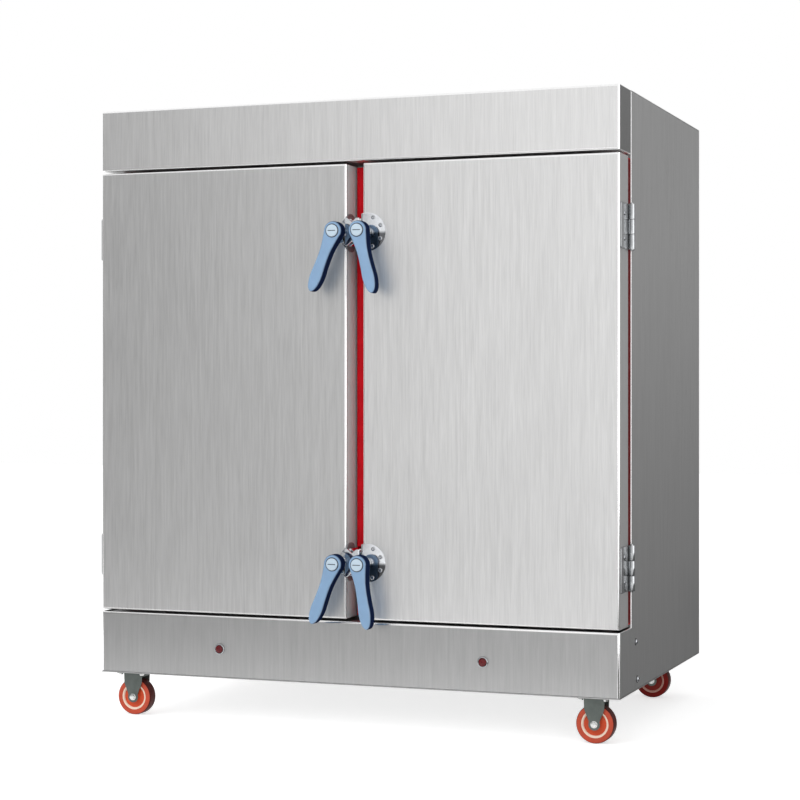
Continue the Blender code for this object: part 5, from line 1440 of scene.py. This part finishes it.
@dataclass
class Lever(Fitting):
    """A latch lever: moulded grip, groove, cap with its slot, hub and tongue."""

    length: float = 0.127
    head: float = 0.0188
    front: float = 0.4232
    thick: float = 0.0262
    thin: float = 0.0245
    tip: float = 0.008
    widths: Rows = (
        (0.25, 0.68), (0.40, 0.60), (0.58, 0.62), (0.74, 0.68), (0.86, 0.60), (0.94, 0.43), (0.985, 0.21)
    )
    shoulder: float = 0.74
    roll: float = 0.0052
    # Painted shade on the sides: where it starts and rises behind the face, and where it ends and falls
    # before the back
    painted_dark_from: Pair = (0.0010, 0.0026)
    painted_dark_to: Pair = (0.0240, 0.0008)
    cap: float = 0.0122
    cap_front: float = 0.4262
    slot: Pair = (0.0078, 0.00075)
    hub: float = 0.011
    spindle: float = 0.0058
    spindle_back: float = 0.3692
    tongue: float = 0.022
    tongue_span: Pair = (0.3735, 0.3785)
    tongue_angles: Pair = (5.0, 40.0)

    def build(self) -> None:
        """Builds the lever's five pieces at its angle; the slot of its cap stays level."""
        word, body = self.word, "lever_" + self.word
        x, height = GAP_MIDDLE + self.side.sign * LATCH_INSET, self.level.height
        turned = Facing.FRONT.at(x, 0.0, height, self.side.sign * SPLAYS[self.side, self.level])
        name, nodes = "lever_grip_" + word, ["latch_lever_" + word]
        grip = self._grip(turned).build(name, Finish.GRIP, body, "blue_plastic", nodes)
        # Painted shade: the grip's sides take the dark side colour
        graded(grip, "flank_shade", self._painted_darkness)
        r, front, top = self.cap, self.front, self.cap_front
        rows = [(r - 0.0006, front - 0.002), (r - 0.0006, front + 0.0004), (r + 0.0004, front + 0.0007)]
        rows += [(r + 0.0014, front + 0.0003), (r + 0.0016, front - 0.002)]
        # The near-black groove ring is painted shade
        groove = Shape().turned(rows, 48, turned, ring=True)
        groove.build("lever_groove_" + word, Finish.GROOVE, body, "blue_plastic")
        rows = [(r - 0.0003, front - 0.002), (r - 0.0003, top - 0.0016), (r - 0.0007, top - 0.0011)]
        rows += [(r * share, top - 0.0009 * share**2) for share in (0.90, 0.75, 0.55, 0.35, 0.15)]
        Shape().turned(rows, 48, turned).build("lever_cap_" + word, Finish.CAP, body, "blue_plastic")
        # The near-black slot mark is painted shade
        outline = rounded_rectangle(*self.slot, 0.0006, 3)
        slot = Shape().plate(outline, top - 0.0012, top + 0.0002, 0.0001, Facing.FRONT.at(x, 0.0, height))
        slot.build("lever_slot_" + word, Finish.SLOT, body, "blue_plastic")
        self._works(turned).build("lever_hub_" + word, Finish.CHROME, body, "chrome")

    def _outline(self) -> Array:
        """The lever seen from the front: a closed Catmull-Rom curve round head, waist, paddle and tip.

        Returns:
            The outline, n by 2.
        """
        half = [tuple(point) for point in arc(self.head, 90.0, -22.0, 7)]
        half += [(self.head * share, -self.length * at) for at, share in self.widths]
        mirrored = [(-x, y) for x, y in half[1:][::-1]]
        return smooth_loop(half + [(0.0, -self.length)] + mirrored, 6)

    def _grip(self, place: Array) -> Shape:
        """The grip: rings drawn from the outline to its middle line, crowned in front, tapered behind.

        Args:
            place: The lever's place.

        Returns:
            Its shape.
        """
        outline = self._outline()
        spine = np.column_stack((np.zeros(len(outline)), np.clip(outline[:, 1], self.tip - self.length, 0.0)))
        down = np.clip((-outline[:, 1] - self.head) / (self.length - self.head), 0.0, 1.0)
        back = self.front - self.thick + (self.thick - self.thin) * down
        shares = [0.0, 0.3, 0.55, self.shoulder, 0.80, 0.86, 0.91, 0.95, 0.98, 1.0]
        heights: list[float | Array] = []
        for share in shares:
            edge = max((share - self.shoulder) / (1.0 - self.shoulder), 0.0)
            heights.append(self.front - 0.0004 * share**2 - self.roll * (1 - math.sqrt(1 - edge**2)))
        face = heights[-1]
        heights += [face + (back + 0.003 - face) * part for part in (0.15, 0.4, 0.7, 1.0)]
        heights += [back + rise for rise in (0.0015, 0.0006, 0.0, 0.0, 0.0)]
        shares += [1.0, 1.0, 1.0, 1.0, 0.985, 0.95, 0.88, 0.5, 0.0]
        return Shape().grid(crowned(outline, spine, shares, heights), place)

    def _painted_darkness(self, points: Array) -> Array:
        """Painted shade on the grip's sides at each point: 0 on its face and back and 1 between them.

        Args:
            points: The grip's points, n by 3.

        Returns:
            One value for each.
        """
        depth = self.front + points[:, 1]
        (start, rise), (end, fall) = self.painted_dark_from, self.painted_dark_to
        return np.clip((depth - start) / rise, 0.0, 1.0) * np.clip((end - depth) / fall, 0.0, 1.0)

    def _works(self, place: Array) -> Shape:
        """The hub, the spindle through the plate and the tongue that catches the keeper.

        Args:
            place: The lever's place.

        Returns:
            Their shape.
        """
        near, far = self.tongue_span
        back, sign = self.front - self.thick, self.side.sign
        rows = [(self.hub, near - 0.0002), (self.hub, back - 0.003), (self.hub + 0.0018, back + 0.0008)]
        shape = Shape().turned(rows, 40, place)
        shape.turned([(self.spindle, self.spindle_back), (self.spindle, near)], 24, place)
        start, end = (-90.0 - sign * angle for angle in self.tongue_angles)
        outline = np.vstack(((0.0, 0.0), arc(self.tongue, start, end, 12)))
        return shape.plate(outline, near, far, 0.0006, place)


@dataclass
class Lamp:
    """An indicator lamp: a turned bezel with its shank and a domed lens."""

    side: Side
    bore: float = 0.0080
    radius: float = 0.011
    edge: float = 0.0016
    shank: float = 0.0094
    back: float = 0.3467
    lens: float = 0.0078
    dome: float = 0.0019

    def build(self) -> None:
        """Builds bezel and lens as turned profiles."""
        word, (across, height) = self.side.word, LAMP_SPOT
        place = Facing.FRONT.at(self.side.sign * across, 0.0, height)
        bore, front, edge = self.bore, PLATE_FRONT, self.edge
        angles = np.radians(np.linspace(90.0, 0.0, 6))
        roll = [(self.radius - edge + edge * math.cos(a), front - edge + edge * math.sin(a)) for a in angles]
        rows = [(bore, self.back), (bore, front - 0.0012), (bore + 0.0005, front - 0.0003)]
        rows += [(bore + 0.0010, front)] + roll
        rows += [(self.radius, PLATE_SEAT), (self.shank, PLATE_SEAT), (self.shank, self.back)]
        bezel = Shape().turned(rows, 56, place, ring=True)
        bezel.build("lamp_bezel_turned_" + word, Finish.HINGE, "cabinet", "chrome", ["lamp_bezel_" + word])
        rows = [(self.lens, self.back + 0.001), (self.lens, front - 0.0004)]
        for share in (0.97, 0.88, 0.74, 0.56, 0.36, 0.15):
            rows.append((self.lens * share, front + self.dome * (1 - share**2)))
        lens = Shape().turned(rows, 48, place)
        lens.build("lamp_lens_domed_" + word, Finish.LENS, "cabinet", "lamp_red", ["lamp_lens_" + word])


class CasterKind(Enum):
    """How a caster is held: fixed at the front, or turning on a race at the back."""

    FIXED = "front"
    SWIVEL = "rear"


@dataclass
class Caster:
    """One caster: its plate, fork with bolted axle, and wheel of tread, ring and hub."""

    side: Side
    kind: CasterKind
    x: float = 0.493
    front_y: float = -0.3215
    rear_y: float = 0.2795
    trail: float = 0.030
    radius: float = 0.0375
    width: float = 0.028
    shoulder: float = 0.0045
    ring: float = 0.0268
    hub: float = 0.0231
    recess: float = 0.0035
    boss: float = 0.0095
    bore: float = 0.0045
    axle: float = 0.0039
    leg_gap: float = 0.0162
    leg: float = 0.0026
    top: float = 0.0907
    plate: float = 0.003
    plate_half: float = 0.032
    plate_corner: float = 0.006
    crown: Pair = (0.0198, 0.0085)
    nut_inset: float = 0.0075
    foot: float = 0.0115
    bend_height: float = 0.0665
    stem: float = 0.005
    race: float = 0.023
    race_bore: float = 0.0056
    race_height: float = 0.007
    race_gap: float = 0.0003

    @property
    def word(self) -> str:
        """Its place, as in the names of its nodes."""
        return f"{self.kind.value}_{self.side.word}"

    @property
    def fixed(self) -> bool:
        """Whether its fork is fixed."""
        return self.kind is CasterKind.FIXED

    @property
    def spot(self) -> Pair:
        """X and Y of its plate."""
        return self.side.sign * self.x, self.front_y if self.fixed else self.rear_y

    @property
    def wheel_x(self) -> float:
        """X of its axle; a swivel fork trails towards the left."""
        return self.spot[0] if self.fixed else self.spot[0] - self.trail

    @property
    def low(self) -> float:
        """Height of the plate's underside."""
        return self.top - self.plate

    @property
    def holder(self) -> str:
        """The fork's body."""
        return "cabinet" if self.fixed else "swivel_" + self.word

    def build(self) -> None:
        """Builds the plate, the fork and the wheel."""
        place = Facing.UP.at(*self.spot, 0.0)
        low, half, word = self.low, self.plate_half, self.word
        plate, fork = Shape(), Shape()
        plate.plate(rounded_rectangle(half, half, self.plate_corner, 6), low, self.top, 0.0006, place)
        if self.fixed:
            leg_top = low + 0.0005
            wide, tall = self.crown
            crown = rounded_rectangle(wide, self.leg_gap + 0.0005, 0.001, 2)
            fork.plate(crown, low - tall, leg_top, 0.0006, place)
        else:
            race_low = low - self.race_gap - self.race_height
            leg_top = race_low + self.race_height / 2
            plate.turned([(self.stem, race_low), (self.stem, low + 0.001)], 24, place)
            fork.turned(self._race(race_low), 64, place, ring=True)
        self._legs(fork, leg_top)
        stands_for = () if self.fixed else ["caster_plate_" + word]
        # The plate's and fork's zinc is darkened in part as painted shade
        plate.build("caster_mount_" + word, Finish.ZINC, "cabinet", "zinc", stands_for)
        fork.build("caster_fork_bent_" + word, Finish.ZINC, self.holder, "zinc", ["caster_fork_" + word])
        self._bolts()
        self._wheel()

    def _race(self, low: float) -> Rows:
        """The race's section: two rolled rims with a groove between them.

        Args:
            low: Height of its underside.

        Returns:
            The radius and height of its points.
        """
        outer, inner, high = self.race, self.race_bore, low + self.race_height
        rows = [(inner, low), (outer - 0.003, low), (outer, low + 0.002), (outer, low + 0.0032)]
        rows += [(outer - 0.0012, low + 0.0036), (outer - 0.0012, low + 0.0042), (outer, low + 0.0046)]
        return rows + [(outer, low + 0.0060), (outer - 0.001, high), (inner, high)]

    def _legs(self, fork: Shape, top: float) -> None:
        """Two legs cut from sheet: wide at the top, narrowing to a round foot about the axle.

        Args:
            fork: The shape that they join.
            top: Height of their upper end.
        """
        (x, y), gap = self.spot, self.leg_gap
        foot = arc(self.foot, -205.0, 25.0, 24, (self.wheel_x, self.radius))
        lean = (self.wheel_x - x) / (self.radius - top)
        left = [(x - half + lean * (z - top), z) for half, z in self._shoulders(top)]
        right = [(x + half + lean * (z - top), z) for half, z in self._shoulders(top)]
        outline = np.vstack((left, foot, right[::-1]))
        for near, far in ((gap, gap + self.leg), (-gap - self.leg, -gap)):
            fork.plate(outline, near, far, 0.0007, Facing.FRONT.at(0.0, y, 0.0))

    def _shoulders(self, top: float) -> Rows:
        """The leg above its foot: upright first, then a rounded taper.

        Args:
            top: Height of its upper end.

        Returns:
            Half its width at each height.
        """
        z = np.array((0.0, 0.5, 1.0, 1.0, 1.0)) * (self.bend_height - top) + top
        z[3:] = self.bend_height - np.array((0.006, 0.0125))
        return list(zip((0.0205, 0.0203, 0.0198, 0.0178, 0.0148), z.tolist()))

    def _bolts(self) -> None:
        """The axle with its heads, and the nuts that hold the plate."""
        (x, y), axle_x, reach = self.spot, self.wheel_x, self.leg_gap + self.leg
        rows = [(self.axle, -reach), (self.axle, reach)]
        axle = Shape().turned(rows, 24, Facing.FRONT.at(axle_x, y, self.radius))
        bolt, nut = HexBolt(0.0060, 0.0047, 0.0069), HexBolt(0.0046, 0.0038, 0.0056)
        bolt.add(axle, Facing.FRONT.at(axle_x, y - reach, self.radius, 12.0))
        bolt.add(axle, Facing.BACK.at(axle_x, y + reach, self.radius, 40.0))
        axle.build("caster_axle_" + self.word, Finish.BOLT, self.holder, "zinc")
        nuts, offset = Shape(), self.plate_half - self.nut_inset
        for index, (sx, sy) in enumerate(CORNERS):
            nut.add(nuts, Facing.DOWN.at(x + sx * offset, y + sy * offset, self.low, 25.0 * index))
        nuts.build("caster_nuts_" + self.word, Finish.BOLT, "cabinet", "zinc")

    def _wheel(self) -> None:
        """The wheel as turned rings: the running face, the walls, the pale ring beside them and the hub."""
        spot = (self.wheel_x, self.spot[1], self.radius)
        both = [facing.at(*spot) for facing in (Facing.FRONT, Facing.BACK)]
        half, r, s, word, body = self.width / 2, self.radius, self.shoulder, self.word, "wheel_" + self.word
        # Rear wheels take darker copies of tread, ring and hub: painted shade under the cabinet
        wall_finish, ring_finish, hub_finish = Finish.TREAD_SHADED, Finish.RING_SHADED, Finish.HUB_SHADED
        if self.fixed:
            wall_finish, ring_finish, hub_finish = Finish.TREAD, Finish.RING, Finish.HUB
        angles = np.radians(np.linspace(0.0, 90.0, 7))
        shoulder = [(r - s + s * math.cos(a), half - s + s * math.sin(a)) for a in angles]
        run = [(r - 0.0001, 0.0)] + shoulder[:4] + [(r - 0.006, half - 0.006)]
        run += [(radius, -height) for radius, height in run[::-1][:-1]]
        # The running face of every wheel is painted dark: painted shade
        tread = Shape().turned(run, 96, both[0], ring=True)
        tread.build("wheel_tread_" + word, Finish.RUNNING_FACE_SHADED, body, "wheel_red", ["caster_wheel_" + word])
        outer, inner = self.ring, self.hub
        wall = shoulder[3:] + [(outer + 0.0015, half), (outer, half - 0.0008), (outer - 0.002, half - 0.004)]
        rim = [(inner - 0.001, half - 0.004), (inner, half - 0.0016), (inner + 0.0010, half - 0.0006)]
        rim += [(outer - 0.0008, half - 0.0002), (outer + 0.0004, half - 0.0010), (outer, half - 0.004)]
        walls, ring = Shape(), Shape()
        for place in both:
            walls.turned(wall, 96, place, ring=True)
            ring.turned(rim, 96, place, ring=True)
        walls.build("wheel_wall_" + word, wall_finish, body, "wheel_red")
        ring.build("wheel_ring_" + word, ring_finish, body, "wheel_red")
        floor, boss = half - self.recess, self.boss
        hub = [(inner, floor - 0.001), (inner - 0.0004, floor), (boss + 0.003, floor - 0.0006), (boss, floor)]
        hub += [(boss, half + 0.0002), (boss - 0.0008, half + 0.0010), (self.bore, half + 0.0010)]
        hub += [(radius, -height) for radius, height in hub[::-1]]
        Shape().turned(hub, 64, both[0], ring=True).build("wheel_hub_" + word, hub_finish, body, "wheel_red")


KEPT_SOLIDS = {
    Finish.TOP: ("top_panel",),
    Finish.BACK: ("back_panel", "base_pan"),
    Finish.INNER: (
        "chamber_liner", "door_liner_left", "door_liner_right", "mullion", "tank_cover", "rack_left",
        "rack_right", "float_arm", "steam_vent",
    ),
    Finish.FOAM: ("insulation_jacket", "door_core_left", "door_core_right"),
    Finish.HEATER: ("heater_left", "heater_right"),
    Finish.NYLON: ("cable_gland",),
    Finish.BRASS: ("drain_valve", "float_valve"),
    Finish.VINYL: ("drain_handle",),
}


def dress_kept_solids() -> None:
    """Gives each solid of the frame whose shape stays the finish of what it is made of."""
    for finish, names in KEPT_SOLIDS.items():
        for name in names:
            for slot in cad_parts[name].material_slots:
                slot.material = finish.made()
            log.info("%s: %s", name, finish.value.name)


def quad(name: str, corners: Sequence[Point], material: Material) -> Object:
    """Makes a flat mesh of four corners.

    Args:
        name: Its name.
        corners: Its corners, in order.
        material: Its material.

    Returns:
        The object.
    """
    mesh = bpy.data.meshes.new(name)
    mesh.from_pydata(corners, [], [(0, 1, 2, 3)])
    mesh.materials.append(material)
    return linked(name, mesh)


@dataclass(frozen=True)
class Card:
    """A studio card that only shiny faces see, its brightness graded along one axis.

    It stands upright between two points of the floor plan, or without a top it lies just over the floor.
    """

    name: str
    start: Pair
    end: Pair
    top: float | None
    axis: int
    span: Pair
    levels: Pair
    lift: float = 0.0015

    def _corners(self) -> list[Point]:
        """The card's corners.

        Returns:
            Four points, in order.
        """
        (x0, y0), (x1, y1), z = self.start, self.end, self.lift
        if self.top is None:
            return [(x0, y0, z), (x1, y0, z), (x1, y1, z), (x0, y1, z)]
        return [(x0, y0, 0.0), (x1, y1, 0.0), (x1, y1, self.top), (x0, y0, self.top)]

    def build(self) -> None:
        """Makes the card: emission mapped from one object coordinate, and no part in any other ray."""
        nodes = Nodes(bpy.data.materials.new(self.name))
        parts = nodes.add("SeparateXYZ")
        nodes.put(parts.inputs[0], nodes.place)
        nodes.surface(Base_Color=grey(0.0), Roughness=1.0, Specular_IOR_Level=0.0, Emission_Color=grey(1.0))
        nodes.surface(Emission_Strength=nodes.ramp(parts.outputs[self.axis], *self.span, *self.levels))
        card = quad(self.name, self._corners(), nodes.owner)
        for ray in ("camera", "diffuse", "transmission", "volume_scatter", "shadow"):
            setattr(card, "visible_" + ray, False)


@dataclass(frozen=True)
class SoftLamp:
    """A soft rectangular lamp that looks at a point and isn't itself mirrored."""

    name: str
    place: Point
    aim: Point
    size: Pair
    watts: float

    def build(self) -> None:
        """Makes the lamp; its Z looks away from the point and its X lies level."""
        data = bpy.data.lights.new(self.name, "AREA")
        data.shape = "RECTANGLE"
        data.size, data.size_y = self.size
        data.energy = self.watts
        lamp = linked(self.name, data)
        lamp.visible_glossy = False
        away = np.array(self.place) - np.array(self.aim)
        away = away / np.linalg.norm(away)
        across = np.cross((0.0, 0.0, 1.0), away)
        across = across / np.linalg.norm(across)
        matrix = np.eye(4)
        matrix[:3, :3] = np.column_stack((across, np.cross(away, across), away))
        matrix[:3, 3] = self.place
        lamp.matrix_world = matrix.T.tolist()


LAMPS = (
    SoftLamp("key_softbox", (-2.6, -3.6, 3.4), (0.0, 0.0, 0.6), (5.4, 4.2), 90.0),
    SoftLamp("front_softbox", (1.9, -4.2, 1.5), (0.0, -0.3, 0.6), (1.8, 1.8), 34.0),
)
CARDS = (
    Card("front_left_card", (-7.0, -3.6), (-0.1, -3.6), 3.2, 0, (-2.8, -0.3), (0.28, 1.1)),
    Card("front_floor_card", (-7.0, -3.6), (0.7, -0.85), None, 0, (-2.8, 0.3), (0.44, 0.60)),
    Card("right_card", (3.4, -2.6), (3.4, 0.3), 3.6, 2, (0.0, 3.6), (2.6, 2.6)),
    Card("back_right_card", (0.2, 3.4), (4.6, 3.4), 4.2, 2, (0.2, 1.2), (0.27, 0.42)),
    Card("right_floor_card", (0.57, -0.9), (5.0, 3.4), None, 1, (0.0, 3.0), (0.20, 0.22)),
)


@dataclass
class Studio:
    """A pale floor, a white world, soft lamps, cards and the camera at the photograph's angle."""

    camera_place: Point = (1.4654, -4.0104, 0.671)
    camera_turn: float = 20.42
    lens: float = 89.35
    sensor: float = 36.0
    shift_y: float = -0.01025
    floor_half: float = 12.0
    floor_colour: float = 0.90
    floor_glow: float = 0.56
    light_from: Point = (-0.50, -0.60, 0.62)
    light_span: Pair = (-0.6, 0.9)
    world_levels: Pair = (0.14, 0.80)

    def build(self) -> None:
        """Sets up floor, world, lamps, cards, camera and the plain view transform."""
        bpy.context.scene.view_settings.view_transform = "Standard"
        self._floor()
        self._world()
        for fitting in (*LAMPS, *CARDS):
            fitting.build()
        self._camera()

    def _floor(self) -> None:
        """A broad pale floor; the camera and mirrors see it a little brighter than it is lit."""
        nodes = Nodes(bpy.data.materials.new("pale_floor"))
        faint = nodes.noise(nodes.place, 3.0, 2.0, 0.5)
        low, high = grey(self.floor_colour * 0.99), grey(self.floor_colour)
        nodes.surface(Base_Color=nodes.tint(faint, low, high), Roughness=0.9, Emission_Color=grey(1.0))
        nodes.surface(Emission_Strength=nodes.maths("MULTIPLY", self._seen(nodes), self.floor_glow))
        corners = [(x * self.floor_half, y * self.floor_half, 0.0) for x, y in CORNERS]
        floor = quad("studio_floor", corners, nodes.owner)

    def _seen(self, nodes: Nodes) -> Socket:
        """1 for rays of the camera and for rays off or through shiny pieces, else 0.

        Args:
            nodes: The floor's or the world's nodes.

        Returns:
            The value.
        """
        path = nodes.add("LightPath")
        total = path.outputs["Is Camera Ray"]
        for name in ("Is Glossy Ray", "Is Transmission Ray"):
            total = nodes.maths("MAXIMUM", total, path.outputs[name])
        return total

    def _world(self) -> None:
        """White at strength 1 where it is seen; elsewhere plain light, stronger from the upper left front."""
        world = bpy.data.worlds.new("studio_white")
        bpy.context.scene.world = world
        nodes = Nodes(world)
        towards = nodes.add("VectorMath", operation="DOT_PRODUCT")
        nodes.put(towards.inputs[0], nodes.coordinates.outputs["Generated"])
        nodes.put(towards.inputs[1], self.light_from)
        side = nodes.ramp(towards.outputs["Value"], *self.light_span, *self.world_levels)
        background = nodes.tree.nodes["Background"]
        nodes.put(background.inputs["Color"], grey(1.0))
        nodes.put(background.inputs["Strength"], nodes.ramp(self._seen(nodes), 0.0, 1.0, side, 1.0))

    def _camera(self) -> None:
        """The camera, level, with the small shift that the photograph's framing needs."""
        data = bpy.data.cameras.new("photo_camera")
        data.lens, data.sensor_width, data.shift_y = self.lens, self.sensor, self.shift_y
        camera = linked("photo_camera", data)
        camera.location = self.camera_place
        camera.rotation_euler = (math.pi / 2, 0.0, math.radians(self.camera_turn))
        bpy.context.scene.camera = camera


def write_sizes() -> None:
    """Updates the view layer."""
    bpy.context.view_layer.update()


def main() -> None:
    """Builds the cabinet sub-assembly by sub-assembly, then the studio."""
    logging.basicConfig(level=logging.INFO, format="%(name)s %(message)s")
    Panels().build()
    DoorSeal().build()
    for side in Side:
        Door(side).build()
        Lamp(side).build()
        for kind in CasterKind:
            Caster(side, kind).build()
        for level in Level:
            for fitting in (Hinge(side, level), LatchPlate(side, level), Lever(side, level)):
                fitting.build()
    for level in Level:
        Keeper(level).build()
    dress_kept_solids()
    Studio().build()
    write_sizes()


if __name__ == "__main__":
    main()
